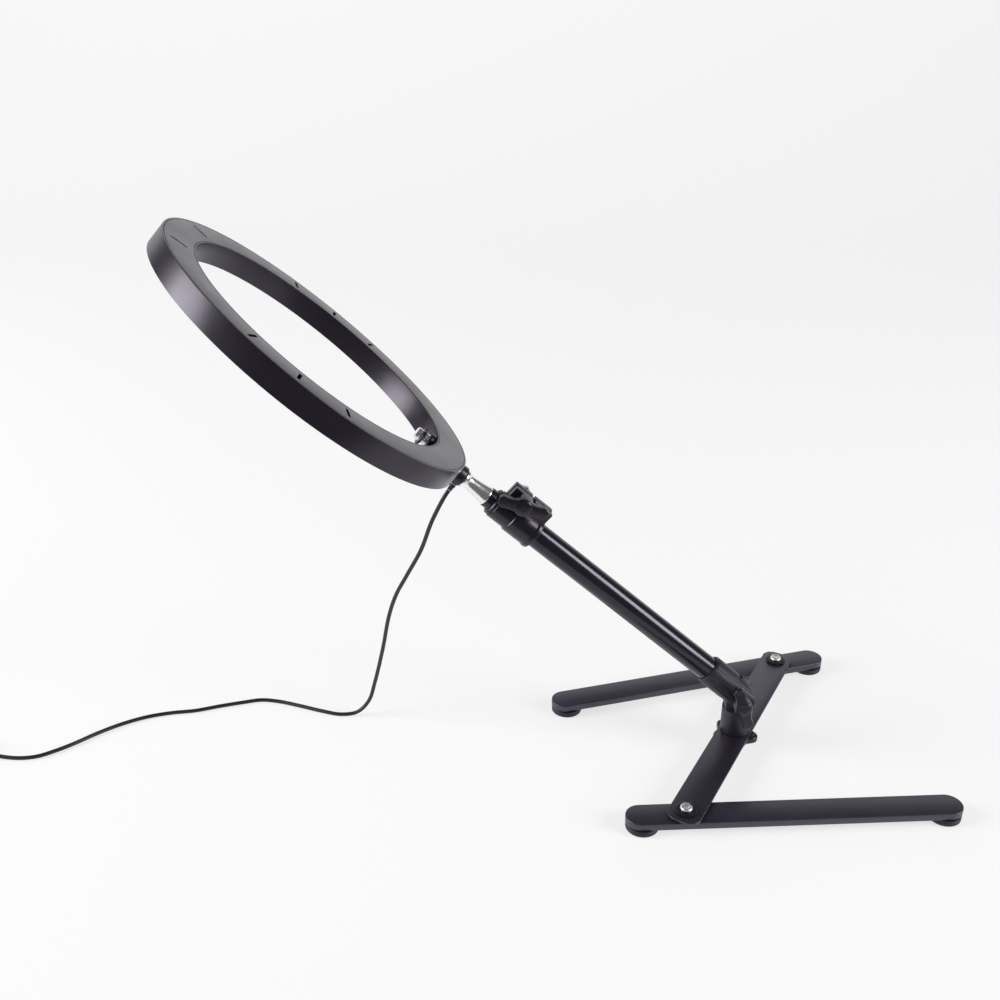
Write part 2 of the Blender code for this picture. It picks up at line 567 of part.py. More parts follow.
def make_light_source(ring):
    """The LED board under the web, with its LEDs raised from it, and the diffuser that closes the front."""
    board_top = RING_THICK / 2 - 0.0052 - GAP
    board_bottom = board_top - 0.0012
    board = placed("led_board", ring_mesh(0.1092, 0.1248, board_bottom, board_top, 48), ring, looks["board"])
    half, middle = 0.0018, 0.1170
    chips = bmesh.new()
    for i in range(LED_COUNT):
        angle = math.tau * (i + 0.5) / LED_COUNT
        made = bmesh.ops.create_cube(chips, size=1.0)["verts"]
        bmesh.ops.scale(chips, verts=made, vec=(2 * half, 2 * half, 0.0014))
        bmesh.ops.translate(chips, verts=made,
                            vec=(middle * math.cos(angle), middle * math.sin(angle), board_bottom - 0.0003))
    mesh = bpy.data.meshes.new("chips")
    chips.to_mesh(mesh)
    chips.free()
    boolean(board, "UNION", mesh, ring)
    low = -RING_THICK / 2 + 0.0002
    inner, outer = RING_IN_R + IN_WALL + GAP, RING_OUT_R - OUT_WALL - GAP
    profile = [(outer, low + 0.0018), (outer, low + 0.0003), (outer - 0.004, low), (inner + 0.004, low),
               (inner, low + 0.0003), (inner, low + 0.0018)]
    placed("diffuser", turned_mesh(profile, RING_STEPS, True), ring, looks["diffuser"])


def make_accessory_mount(ring):
    """A boss on the inner wall with a threaded stud for a phone holder, and the stud's lock nut."""
    mount = frame("accessory_axis", ring, (0, 0, 0.0004), (0, -90, 0))
    foot = -(RING_IN_R - 0.0006)
    boss = [(ACCESSORY_BOSS_R - 0.0008, foot + 0.0040), (ACCESSORY_BOSS_R, foot + 0.0032),
            (ACCESSORY_BOSS_R, foot), (ACCESSORY_STUD_R + GAP, foot), (ACCESSORY_STUD_R + GAP, foot + 0.0040)]
    placed("accessory_boss", turned_mesh(boss, 24, True), mount, looks["black_plastic"])
    tip = foot + 0.0135
    stud = [(0, tip), (ACCESSORY_STUD_R - 0.0006, tip), (ACCESSORY_STUD_R, tip - 0.0008),
            (ACCESSORY_STUD_R, foot + GAP), (0, foot + GAP)]
    placed("accessory_stud", turned_mesh(stud, 20), mount, looks["chrome"])
    nut_at = foot + 0.0075
    nut = ring_mesh(ACCESSORY_STUD_R + GAP, ACCESSORY_NUT_R, 0.0, 0.0022, 24)
    turning = frame("accessory_nut_axis", mount, (0, 0, nut_at))
    placed("accessory_nut", nut, turning, looks["black_plastic"])


# --- USB lead -----------------------------------------------------------------------------------
def make_controller(stand):
    """The in-line controller, its boots moulded on the lower shell, and three push buttons."""
    box = frame("controller_frame", stand, CONTROLLER_AT, (0, 0, CONTROLLER_DEG))
    half, side = CONTROLLER_LONG / 2, CONTROLLER_WIDE / 2
    lower = placed("controller_base", box_mesh((-half, -side, 0), (half, side, CONTROLLER_SPLIT)), box,
                   looks["black_plastic"])
    for end in (-1, 1):
        boot = rod_mesh(0.0034, 0.0, BOOT_LONG + 0.004, 20, 0.0022)
        boolean(lower, "UNION", boot, None, (end * (half - 0.004), 0, CONTROLLER_CORD_Z), (0, 90 * end, 0))
    boolean(lower, "DIFFERENCE",
            box_mesh((-half + 0.0015, -side + 0.0015, 0.0015), (half - 0.0015, side - 0.0015, 0.0120)))
    upper = placed("controller_cover",
                   box_mesh((-half, -side, CONTROLLER_SPLIT + GAP), (half, side, CONTROLLER_HIGH)), box,
                   looks["black_plastic"])
    boolean(upper, "DIFFERENCE",
            box_mesh((-half + 0.0015, -side + 0.0015, 0.0), (half - 0.0015, side - 0.0015, 0.0090)))
    for end in (-1, 1):
        near, far = sorted((end * (half - 0.004), end * (half + 0.004)))
        boolean(upper, "DIFFERENCE", box_mesh((near, -0.0037, 0.0), (far, 0.0037, 0.0088)))
    for name, x in zip(("dim", "power", "bright"), BUTTON_XS):
        boolean(upper, "DIFFERENCE", rod_mesh(BUTTON_R + GAP, 0.0, 0.02), None, (x, 0, 0))
        top = CONTROLLER_HIGH + BUTTON_PROUD
        profile = [(0, top), (BUTTON_R - 0.0005, top), (BUTTON_R, top - 0.0005), (BUTTON_R, 0.0086),
                   (BUTTON_R + 0.0008, 0.0086), (BUTTON_R + 0.0008, 0.0078), (0, 0.0078)]
        placed(f"button_{name}", turned_mesh(profile, 20), box, looks["grey_plastic"], (x, 0, 0))
    return box


def make_plug(stand):
    """The moulded USB plug with its boot, and the metal shell with its tongue."""
    plug = frame("plug_frame", stand, PLUG_AT, (0, 0, PLUG_DEG))
    body = placed("usb_plug_body",
                  box_mesh((0, -PLUG_WIDE / 2, 0), (PLUG_LONG, PLUG_WIDE / 2, PLUG_HIGH)), plug,
                  looks["black_plastic"])
    boot = rod_mesh(0.0032, 0.0, BOOT_LONG + 0.002, 20, 0.0021)
    boolean(body, "UNION", boot, None, (0.002, 0, PLUG_HIGH / 2), (0, -90, 0))
    start, end = PLUG_LONG + GAP, PLUG_LONG + SHELL_LONG
    wide, low, high = SHELL_WIDE / 2, (PLUG_HIGH - SHELL_HIGH) / 2, (PLUG_HIGH + SHELL_HIGH) / 2
    shell = placed("usb_plug_shell", box_mesh((start, -wide, low), (end, wide, high)), plug, looks["steel"])
    wall = SHELL_WALL
    opening = box_mesh((start + 0.0015, -wide + wall, low + wall + 0.0018), (end + 0.01, wide - wall, high - wall))
    boolean(shell, "DIFFERENCE", opening)


def make_coil(stand):
    """The outer shape of the coiled lead, and the tie round it."""
    height = COIL_LAYERS * COIL_PITCH
    half = COIL_TURNS * COIL_PITCH / 2
    inner, outer = COIL_MID_R - half, COIL_MID_R + half
    coil = ring_mesh(inner, outer, COIL_LIFT, COIL_LIFT + height, 40)
    placed("cord_coil", coil, stand, looks["lead"], COIL_AT)
    wall, room = 0.0006, 0.0003
    low = (inner - 4 * room - wall, -0.0035, 0.0)
    high = (outer + room + wall, 0.0035, COIL_LIFT + height + room + wall)
    tie = placed("cord_tie", box_mesh(low, high), stand, looks["nylon"], COIL_AT, (0, 0, -35))
    window = box_mesh((low[0] + wall, -0.01, low[2] + wall), (high[0] - wall, 0.01, high[2] - wall))
    boolean(tie, "DIFFERENCE", window, stand, COIL_AT, (0, 0, -35))


def world_point(obj_frame, point):
    bpy.context.view_layer.update()
    return obj_frame.matrix_world @ Vector(point)


def make_leads(stand, slider, controller):
    """Three plain tubes: gland to controller, controller to coil, and coil to plug."""
    to_stand = -POST_AT
    gland = world_point(slider, (GLAND_W, GLAND_Y, GLAND_S)) + to_stand
    heading = (world_point(slider, Vector((GLAND_W, GLAND_Y, GLAND_S)) + GLAND_AXIS) + to_stand - gland)
    start = gland + heading * (GLAND_LONG + GAP)
    straight = 0.0040
    reach = CONTROLLER_LONG / 2 + BOOT_LONG + GAP
    boot = world_point(controller, (-reach, 0, CONTROLLER_CORD_Z)) + to_stand
    level = world_point(controller, (-reach - straight, 0, CONTROLLER_CORD_Z)) + to_stand
    before = world_point(controller, (-reach - 0.013, 0, CONTROLLER_CORD_Z - 0.0020)) + to_stand
    table = [(x, y, CORD_R + 0.0002) for x, y in TABLE_ROUTE]
    route = [start, start + heading * straight, *HANG_ROUTE, *table, before, level, boot]
    points = smooth_curve(route, 3.0 * 2 * CORD_R)
    points.insert(1, start + heading * straight * 0.6)
    points.insert(-1, boot.lerp(level, 0.6))
    placed("cord_lead", cord_mesh(points), stand, looks["lead"])

    far_boot = world_point(controller, (reach, 0, CONTROLLER_CORD_Z)) + to_stand
    level = world_point(controller, (reach + straight, 0, CONTROLLER_CORD_Z)) + to_stand
    layer = COIL_LIFT + COIL_PITCH / 2
    outer = COIL_MID_R + COIL_TURNS * COIL_PITCH / 2
    entry = Vector((COIL_AT.x - 0.0060, COIL_AT.y + outer + CORD_R + 0.0004, layer))
    route = [far_boot, level, *((x, y, CORD_R + 0.0002) for x, y in TAIL_ROUTE), entry]
    points = smooth_curve(route, 0.0064)
    points.insert(1, far_boot.lerp(level, 0.6))
    placed("cord_tail_in", cord_mesh(points), stand, looks["lead"])

    plug_boot = Vector((PLUG_AT.x, PLUG_AT.y, PLUG_HIGH / 2))
    heading = Vector((math.cos(math.radians(PLUG_DEG)), math.sin(math.radians(PLUG_DEG)), 0))
    end = plug_boot - heading * (BOOT_LONG + GAP)
    level = end - heading * straight
    leave = Vector((COIL_AT.x - 0.0010, COIL_AT.y - outer - CORD_R - 0.0004, layer + COIL_PITCH))
    points = smooth_curve([leave, leave - Vector((straight, 0.0002, 0)), level, end], 0.0050)
    points.insert(-1, end.lerp(level, 0.6))
    placed("cord_tail_out", cord_mesh(points), stand, looks["lead"])


# --- Assembly -----------------------------------------------------------------------------------
def build():
    stand = frame("stand", None, POST_AT)

    half = PIVOT_SPACING / 2
    bar = math.radians(BAR_DEG)
    ends = {
        "front": (Vector((-half * math.cos(bar), -half * math.sin(bar), 0)), FRONT_LEG_DEG),
        "rear": (Vector((half * math.cos(bar), half * math.sin(bar), 0)), REAR_LEG_DEG),
    }
    make_crossbar(stand)
    for side, (place, degrees) in ends.items():
        make_leg(side, frame(f"leg_{side}_axis", stand, place, (0, 0, degrees)))
        make_pivot(side, stand, place)
    make_base_knob(frame("base_knob_axis", stand, degrees=(0, 0, -20)))

    pan = frame("pan_axis", stand, degrees=(0, 0, PAN_DEG))
    make_post(pan)
    hinge = frame("hinge_knob_axis", pan, (0, 0, HINGE_Z), (90, 0, 0))
    make_wing_knob("hinge", hinge, EAR_OUTER + GAP, -EAR_OUTER - 0.0050, HINGE_WING_DEG)
    make_hex_nut("hinge_nut", pan, (0, EAR_OUTER + GAP, HINGE_Z), (-90, 0, 0), 0.0045)

    mast = frame("tilt_axis", pan, (0, 0, HINGE_Z), (0, ELEVATION_DEG - 90, 0))
    slider = frame("slide_axis", mast)
    make_tube_socket(mast)
    make_tubes(mast, slider)
    make_lock_collar(mast)
    make_guide_bush(mast)
    lock = frame("lock_knob_axis", mast, (LOCK_AT_W, 0, LOCK_AT_S), (90, 0, 0))
    make_wing_knob("lock", lock, EAR_HALF + GAP, -EAR_HALF - 0.0050, LOCK_WING_DEG)
    make_hex_nut("lock_nut", mast, (LOCK_AT_W, EAR_HALF + GAP, LOCK_AT_S), (-90, 0, 0), 0.0045)

    make_spigot(slider)
    make_mount_collar(slider)
    make_gland(slider)

    head = frame("swivel_axis", slider, (0, 0, HEAD_AT_S), (0, 0, HEAD_ROLL_DEG))
    ring_w = HEAD_OFFSET + RING_OUT_R * math.sin(math.radians(RING_PITCH_DEG))
    ring = frame("ring_frame", head, (ring_w, 0, 0), (0, 90 + RING_PITCH_DEG, 0))
    make_back_cover(ring)
    make_ring_housing(ring, slider)
    make_light_source(ring)
    make_accessory_mount(ring)

    controller = make_controller(stand)
    make_plug(stand)
    make_coil(stand)
    make_leads(stand, slider, controller)


clear_scene()
parts = collection(PARTS)
cutters = collection("cutters")
looks = {
    "satin_metal": material("satin_metal", (0.050, 0.045, 0.055), 0.50, 0.0),
    "gloss_black": material("gloss_black", (0.012, 0.011, 0.014), 0.22, 0.0),
    "black_plastic": material("black_plastic", (0.014, 0.013, 0.015), 0.38, 0.0),
    "head_plastic": material("head_plastic", (0.040, 0.036, 0.046), 0.42, 0.0),
    "grey_plastic": material("grey_plastic", (0.120, 0.120, 0.125), 0.45, 0.0),
    "nylon": material("nylon", (0.010, 0.010, 0.012), 0.55, 0.0),
    "rubber": material("rubber", (0.012, 0.012, 0.013), 0.70, 0.0),
    "steel": material("steel", (0.560, 0.560, 0.570), 0.28, 1.0),
    "chrome": material("chrome", (0.800, 0.800, 0.810), 0.12, 1.0),
    "board": material("board", (0.850, 0.850, 0.830), 0.50, 0.0),
    "diffuser": material("diffuser", (0.880, 0.880, 0.870), 0.45, 0.0),
    "lead": material("lead", (0.012, 0.012, 0.013), 0.50, 0.0),
}
GLAND_AXIS = Vector((-0.957, -0.288, -0.060)).normalized()
GLAND_DEGREES = [math.degrees(angle) for angle in GLAND_AXIS.to_track_quat("Z", "Y").to_euler()]
build()
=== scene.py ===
import json
import math

import bmesh
import bpy
from mathutils import Matrix, Vector


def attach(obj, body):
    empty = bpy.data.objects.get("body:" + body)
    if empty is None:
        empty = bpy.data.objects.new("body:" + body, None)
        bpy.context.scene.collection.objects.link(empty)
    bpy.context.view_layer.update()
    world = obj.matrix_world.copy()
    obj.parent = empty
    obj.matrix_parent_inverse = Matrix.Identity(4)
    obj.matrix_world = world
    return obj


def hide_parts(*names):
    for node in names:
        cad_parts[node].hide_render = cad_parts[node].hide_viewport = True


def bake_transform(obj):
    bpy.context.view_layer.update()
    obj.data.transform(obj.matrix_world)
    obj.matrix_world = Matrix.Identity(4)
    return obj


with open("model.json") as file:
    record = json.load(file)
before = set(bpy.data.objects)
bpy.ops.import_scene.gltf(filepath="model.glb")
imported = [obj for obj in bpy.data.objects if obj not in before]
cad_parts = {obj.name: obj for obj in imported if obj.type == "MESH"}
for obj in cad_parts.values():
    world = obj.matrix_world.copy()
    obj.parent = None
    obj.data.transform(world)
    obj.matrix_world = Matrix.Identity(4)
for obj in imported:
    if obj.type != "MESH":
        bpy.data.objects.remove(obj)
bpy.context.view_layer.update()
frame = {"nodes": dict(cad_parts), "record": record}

# --- Frames ---------------------------------------------------------------------------------------
# The stand's own frame and its moving frames, as part.py places them. Metres and degrees.
POST_AT = Vector((0.1344, -0.0033, 0.0))
PAN_DEG = -0.47
HINGE_Z = 0.0490
MAST_DEG = 40.8
HEAD_ALONG = 0.4262
SWIVEL_DEG = 8.06
HEAD_OFFSET = 0.0048
RING_OUT_R = 0.1300
RING_PITCH_DEG = 0.25
GAP = 0.0003


def turn(degrees, axis):
    return Matrix.Rotation(math.radians(degrees), 4, axis)


def move(x=0.0, y=0.0, z=0.0):
    return Matrix.Translation((x, y, z))


STAND = Matrix.Translation(POST_AT)
PAN = STAND @ turn(PAN_DEG, "Z")
MAST = PAN @ move(z=HINGE_Z) @ turn(MAST_DEG - 90, "Y")
HEAD = MAST @ move(z=HEAD_ALONG) @ turn(SWIVEL_DEG, "Z")
RING_W = HEAD_OFFSET + RING_OUT_R * math.sin(math.radians(RING_PITCH_DEG))
RING = HEAD @ move(RING_W) @ turn(90 + RING_PITCH_DEG, "Y")


def link(name, data, matrix):
    obj = bpy.data.objects.new(name, data)
    bpy.context.scene.collection.objects.link(obj)
    obj.matrix_world = matrix
    return obj


# --- Camera ---------------------------------------------------------------------------------------
CAMERA_FROM_POST = Vector((-0.19085, -0.76375, 0.5931))
CAMERA_DOWN_DEG = 26.05
CAMERA_ROLL_DEG = 0.115
LENS_MM = 41.76
SENSOR_MM = 36.0


def make_camera():
    data = bpy.data.cameras.new("camera")
    data.lens, data.sensor_width = LENS_MM, SENSOR_MM
    data.clip_start, data.clip_end = 0.01, 50
    place = Matrix.Translation(CAMERA_FROM_POST + POST_AT)
    aim = turn(90 - CAMERA_DOWN_DEG, "X") @ turn(CAMERA_ROLL_DEG, "Z")
    bpy.context.scene.camera = link("camera", data, place @ aim)


# --- Lines and tubes ------------------------------------------------------------------------------
TINY = 1e-9


def line_length(points):
    return sum((q - p).length for p, q in zip(points, points[1:]))


def evenly(fine, spacing):
    """Points along the same line in equal steps of about the given spacing."""
    step = line_length(fine) / max(1, round(line_length(fine) / spacing))
    spaced, travelled, due = [fine[0]], 0.0, step
    for p, q in zip(fine, fine[1:]):
        stretch = (q - p).length
        while due < travelled + stretch - TINY:
            spaced.append(p.lerp(q, (due - travelled) / stretch))
            due += step
        travelled += stretch
    if (spaced[-1] - fine[-1]).length < step / 2:
        spaced.pop()
    spaced.append(fine[-1])
    return spaced


def smooth_curve(points, spacing, steps=12):
    """Evenly spaced points on a centripetal Catmull-Rom curve through the given ones."""
    points = [Vector(p) for p in points]
    chain = [points[0] * 2 - points[1], *points, points[-1] * 2 - points[-2]]
    fine = []
    for a, b, c, d in zip(chain, chain[1:], chain[2:], chain[3:]):
        knots = [0.0]
        for p, q in ((a, b), (b, c), (c, d)):
            knots.append(knots[-1] + max((q - p).length, TINY) ** 0.5)
        t0, t1, t2, t3 = knots
        for i in range(steps):
            t = t1 + (t2 - t1) * i / steps
            ab = a * ((t1 - t) / (t1 - t0)) + b * ((t - t0) / (t1 - t0))
            bc = b * ((t2 - t) / (t2 - t1)) + c * ((t - t1) / (t2 - t1))
            cd = c * ((t3 - t) / (t3 - t2)) + d * ((t - t2) / (t3 - t2))
            abc = ab * ((t2 - t) / (t2 - t0)) + bc * ((t - t0) / (t2 - t0))
            bcd = bc * ((t3 - t) / (t3 - t1)) + cd * ((t - t1) / (t3 - t1))
            fine.append(abc * ((t2 - t) / (t2 - t1)) + bcd * ((t - t1) / (t2 - t1)))
    fine.append(points[-1])
    return evenly(fine, spacing)


def shaded(mesh, sharp_deg):
    """Smooth shading, except along edges that turn more sharply than the given angle."""
    mesh.shade_smooth()
    mesh.set_sharp_from_angle(angle=math.radians(sharp_deg))


def finished(name, shape, matrix, sharp_deg=38):
    """An object from a shape that is still being built."""
    mesh = bpy.data.meshes.new(name)
    shape.to_mesh(mesh)
    shape.free()
    shaded(mesh, sharp_deg)
    return link(name, mesh, matrix)


def tube(name, points, radius, sides=20):
    """A round tube along points that are given in the shared frame."""
    shape = bmesh.new()
    rings = []
    normal = None
    for i, p in enumerate(points):
        before, after = points[max(i - 1, 0)], points[min(i + 1, len(points) - 1)]
        along = (after - before).normalized()
        if normal is None:
            normal = along.orthogonal().normalized()
        normal = (normal - along * normal.dot(along)).normalized()
        side = along.cross(normal)
        ring = []
        for k in range(sides):
            angle = math.tau * k / sides
            outward = normal * math.cos(angle) + side * math.sin(angle)
            ring.append(shape.verts.new(p + outward * radius))
        rings.append(ring)
    for low, high in zip(rings, rings[1:]):
        for k in range(sides):
            shape.faces.new((low[k], low[(k + 1) % sides], high[(k + 1) % sides], high[k]))
    shape.faces.new(rings[0][::-1])
    shape.faces.new(rings[-1])
    return finished(name, shape, Matrix.Identity(4), 50)


# --- Leads ----------------------------------------------------------------------------------------
CORD_R = 0.0016
CORD_Z = CORD_R + 0.0002
CORD_STRAIGHT = 0.0040
BOOT_LONG = 0.0080
GLAND_AT = Vector((-0.0079, -0.0023, 0.2903))
GLAND_AXIS = Vector((-0.957, -0.288, -0.060)).normalized()
GLAND_LONG = 0.0052
CONTROLLER = STAND @ move(-0.6400, -0.0150) @ turn(171.0, "Z")
CONTROLLER_LONG = 0.0560
CONTROLLER_CORD_Z = 0.0050
CONTROLLER_REACH = CONTROLLER_LONG / 2 + BOOT_LONG + GAP
COIL_AT = Vector((-0.6330, -0.0780, 0.0))
COIL_LIFT = 0.0009
COIL_MID_R = 0.0180
COIL_PITCH = 0.0033
COIL_LAYER_TURNS = 4
PLUG = STAND @ move(-0.6720, -0.1040) @ turn(180.0, "Z")
PLUG_HIGH = 0.0080
HANG_ROUTE = [
    (-0.2411, -0.0002, 0.2025), (-0.2503, 0.0049, 0.1754), (-0.2621, 0.0110, 0.1502),
    (-0.2718, 0.0163, 0.1292), (-0.2786, 0.0214, 0.1069), (-0.2855, 0.0283, 0.0722),
    (-0.2942, 0.0338, 0.0352), (-0.3005, 0.0353, 0.0150), (-0.3105, 0.0350, 0.0040),
]
TABLE_ROUTE = [
    (-0.3240, 0.0345), (-0.3410, 0.0390), (-0.3600, 0.0460), (-0.3800, 0.0525),
    (-0.3950, 0.0545), (-0.4100, 0.0510), (-0.4290, 0.0455), (-0.4480, 0.0392),
    (-0.4680, 0.0358), (-0.4870, 0.0300), (-0.5050, 0.0203), (-0.5210, 0.0082),
    (-0.5365, -0.0060), (-0.5485, -0.0152), (-0.5605, -0.0220), (-0.5745, -0.0240),
]
TAIL_ROUTE = [
    (-0.6930, -0.0120), (-0.7010, -0.0260), (-0.6960, -0.0420), (-0.6800, -0.0505),
    (-0.6600, -0.0528),
]


def first_lead():
    """From the gland to the controller: straight out, down under its own weight, along the table."""
    start = MAST @ (GLAND_AT + GLAND_AXIS * (GLAND_LONG + GAP))
    heading = MAST.to_3x3() @ GLAND_AXIS
    rise_long, rise = 0.0130, 0.0020
    route = [start, start + heading * CORD_STRAIGHT]
    route += [STAND @ Vector(p) for p in HANG_ROUTE]
    route += [STAND @ Vector((x, y, CORD_Z)) for x, y in TABLE_ROUTE]
    for back, drop in ((rise_long, rise), (CORD_STRAIGHT, 0.0), (0.0, 0.0)):
        route.append(CONTROLLER @ Vector((-CONTROLLER_REACH - back, 0, CONTROLLER_CORD_Z - drop)))
    return smooth_curve(route, spacing=0.0025)


def coil_route():
    """In along the lower layer, up, out along the upper layer and half a turn more."""
    inward = COIL_LAYER_TURNS - 1
    outer = COIL_MID_R + inward * COIL_PITCH / 2
    inner = COIL_MID_R - inward * COIL_PITCH / 2
    low = COIL_LIFT + COIL_PITCH / 2
    centre = STAND @ COIL_AT
    turns, steps = 2 * inward + 1.5, 40
    route = []
    for i in range(int(steps * turns) + 1):
        t = i / steps
        if t <= inward:
            radius, z = outer - COIL_PITCH * t, low
        elif t <= inward + 1:
            share = t - inward
            radius, z = inner, low + COIL_PITCH * share * share * (3 - 2 * share)
        else:
            radius, z = min(outer, inner + COIL_PITCH * (t - inward - 1)), low + COIL_PITCH
        angle = math.radians(90 - 360 * t)
        route.append(centre + Vector((radius * math.cos(angle), radius * math.sin(angle), z)))
    return route


def second_lead():
    """From the controller to the plug, with the coil between."""
    route = [CONTROLLER @ Vector((CONTROLLER_REACH + away, 0, CONTROLLER_CORD_Z))
             for away in (0.0, CORD_STRAIGHT)]
    route += [STAND @ Vector((x, y, CORD_Z)) for x, y in TAIL_ROUTE]
    route += coil_route()
    route += [PLUG @ Vector((-BOOT_LONG - GAP - away, 0, PLUG_HIGH / 2)) for away in (CORD_STRAIGHT, 0.0)]
    return smooth_curve(route, spacing=0.0020)


lead_a, lead_b = first_lead(), second_lead()
cord_lead = tube("lead_light_to_controller", lead_a, CORD_R)
cord_coil = tube("lead_controller_to_plug", lead_b, CORD_R)
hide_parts("cord_lead")
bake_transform(cord_lead)
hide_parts("cord_tail_in", "cord_coil", "cord_tail_out")
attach(cord_coil, "post")

# --- Materials ------------------------------------------------------------------------------------
NOISE_LOW, NOISE_HIGH = 0.3, 0.7
MOTTLE_SCALE = 35.0
ROUGHNESS_SWING = 0.03
GRAIN_DEPTH = 0.0005
VIOLET = (0.90, 0.84, 1.0)
PLAIN = (1.0, 1.0, 1.0)


def plastic(name, colour, roughness, grain=900.0, bump=0.02, shade=0.15, metallic=0.0, gloss=0.5,
            tint=PLAIN):
    """A moulded or painted surface with a fine grain, faint mottling and uneven gloss."""
    made = bpy.data.materials.new(name)
    made.use_nodes = True
    tree = made.node_tree
    shader = tree.nodes["Principled BSDF"]
    shader.inputs["Metallic"].default_value = metallic
    shader.inputs["Specular IOR Level"].default_value = gloss
    shader.inputs["Specular Tint"].default_value = (*tint, 1.0)
    coords = tree.nodes.new("ShaderNodeTexCoord")

    def noise(scale, detail):
        node = tree.nodes.new("ShaderNodeTexNoise")
        node.inputs["Scale"].default_value = scale
        node.inputs["Detail"].default_value = detail
        tree.links.new(coords.outputs["Object"], node.inputs["Vector"])
        return node.outputs["Fac"]

    mottle = noise(MOTTLE_SCALE, detail=4.0)
    ramp = tree.nodes.new("ShaderNodeValToRGB")
    for stop, at, share in zip(ramp.color_ramp.elements, (NOISE_LOW, NOISE_HIGH), (1 - shade, 1 + shade)):
        stop.position = at
        stop.color = (*[c * share for c in colour], 1)
    tree.links.new(mottle, ramp.inputs["Fac"])
    tree.links.new(ramp.outputs["Color"], shader.inputs["Base Color"])
    uneven = tree.nodes.new("ShaderNodeMapRange")
    uneven.inputs["From Min"].default_value = NOISE_LOW
    uneven.inputs["From Max"].default_value = NOISE_HIGH
    uneven.inputs["To Min"].default_value = roughness - ROUGHNESS_SWING
    uneven.inputs["To Max"].default_value = roughness + ROUGHNESS_SWING
    tree.links.new(mottle, uneven.inputs["Value"])
    tree.links.new(uneven.outputs["Result"], shader.inputs["Roughness"])
    lift = tree.nodes.new("ShaderNodeBump")
    lift.inputs["Strength"].default_value = bump
    lift.inputs["Distance"].default_value = GRAIN_DEPTH
    tree.links.new(noise(grain, detail=3.0), lift.inputs["Height"])
    tree.links.new(lift.outputs["Normal"], shader.inputs["Normal"])
    return made


# Each look: colour, roughness, the grain's fineness and strength, then the mottling and how metallic it is.
looks = {
    "satin_metal": plastic("satin_paint", (0.0125, 0.0100, 0.0195), 0.38, 1500, 0.10, gloss=0.95,
                           tint=VIOLET),
    "gloss_black": plastic("gloss_paint", (0.0110, 0.0096, 0.0160), 0.17, 600, 0.02, tint=VIOLET),
    "black_plastic": plastic("knob_plastic", (0.0105, 0.0092, 0.0140), 0.28, 1200, 0.05, tint=VIOLET),
    "post_plastic": plastic("post_plastic", (0.0190, 0.0168, 0.0250), 0.48, 1400, 0.08, tint=VIOLET),
    "head_plastic": plastic("head_plastic", (0.0165, 0.0122, 0.0205), 0.31, 1500, 0.05, tint=VIOLET),
    "grey_plastic": plastic("button_plastic", (0.12, 0.12, 0.125), 0.45, 1200, 0.05),
    "nylon": plastic("nylon", (0.0080, 0.0072, 0.0105), 0.36, 1000, 0.05, tint=VIOLET),
    "rubber": plastic("rubber", (0.0105, 0.0092, 0.0135), 0.50, 800, 0.10, tint=VIOLET),
    "steel": plastic("zinc_plate", (0.56, 0.56, 0.57), 0.28, 500, 0.04, 0.06, 1.0),
    "bright_zinc": plastic("bright_zinc", (0.84, 0.84, 0.85), 0.42, 500, 0.04, 0.04, 1.0),
    "chrome": plastic("polished_metal", (0.88, 0.88, 0.89), 0.22, 400, 0.02, 0.04, 1.0),
    "board": plastic("solder_mask", (0.85, 0.85, 0.83), 0.5, 800, 0.04, 0.03),
    "diffuser": plastic("opal_plastic", (0.88, 0.88, 0.87), 0.45, 900, 0.03, 0.02),
    "lead": plastic("lead_jacket", (0.0085, 0.0078, 0.0110), 0.42, 700, 0.05),
}

# --- Detailed pieces: helpers ---------------------------------------------------------------------
AXIS_R = 1e-7
CURVE_SHARE = 0.45
FLUTED_FROM = 0.93
PAST = 0.02
nodes = frame["nodes"]
slots = {row["node"]: row["material_slot"] for row in frame["record"]["subparts"]}
body_of = {node: body for body, row in frame["record"]["behaviour"]["bodies"].items() for node in row}


def rounded(profile, radius, steps=4):
    """The profile with its corners turned into small curves. Points on the axis stay sharp."""
    made = []
    count = len(profile)
    for i, corner in enumerate(profile):
        if corner[0] < AXIS_R:
            made.append(corner)
            continue
        here, before, after = Vector(corner), Vector(profile[i - 1]), Vector(profile[(i + 1) % count])
        reach = min(radius, (before - here).length * CURVE_SHARE, (after - here).length * CURVE_SHARE)
        a = here + (before - here).normalized() * reach
        c = here + (after - here).normalized() * reach
        for k in range(steps + 1):
            t = k / steps
            made.append(tuple(a * (1 - t) ** 2 + here * 2 * t * (1 - t) + c * t * t))
    return made


def lathe(name, profile, matrix, steps=96, flutes=0, flute_depth=0.0):
    """A closed (radius, height) profile turned about Z, with optional flutes round its widest parts."""
    shape = bmesh.new()
    widest = max(radius for radius, height in profile)
    rings = []
    for radius, height in profile:
        if radius < AXIS_R:
            rings.append([shape.verts.new((0, 0, height))])
            continue
        ring = []
        for k in range(steps):
            angle = math.tau * k / steps
            reach = radius
            if flutes and radius > widest * FLUTED_FROM:
                reach -= flute_depth * (0.5 + 0.5 * math.cos(angle * flutes))
            ring.append(shape.verts.new((reach * math.cos(angle), reach * math.sin(angle), height)))
        rings.append(ring)
    for low, high in zip(rings, rings[1:] + rings[:1]):
        for k in range(steps):
            corners = [low[k % len(low)], low[(k + 1) % len(low)]]
            corners += [high[(k + 1) % len(high)], high[k % len(high)]]
            corners = list(dict.fromkeys(corners))
            if len(corners) > 2:
                shape.faces.new(corners)
    bmesh.ops.recalc_face_normals(shape, faces=shape.faces)
    return finished(name, shape, matrix)


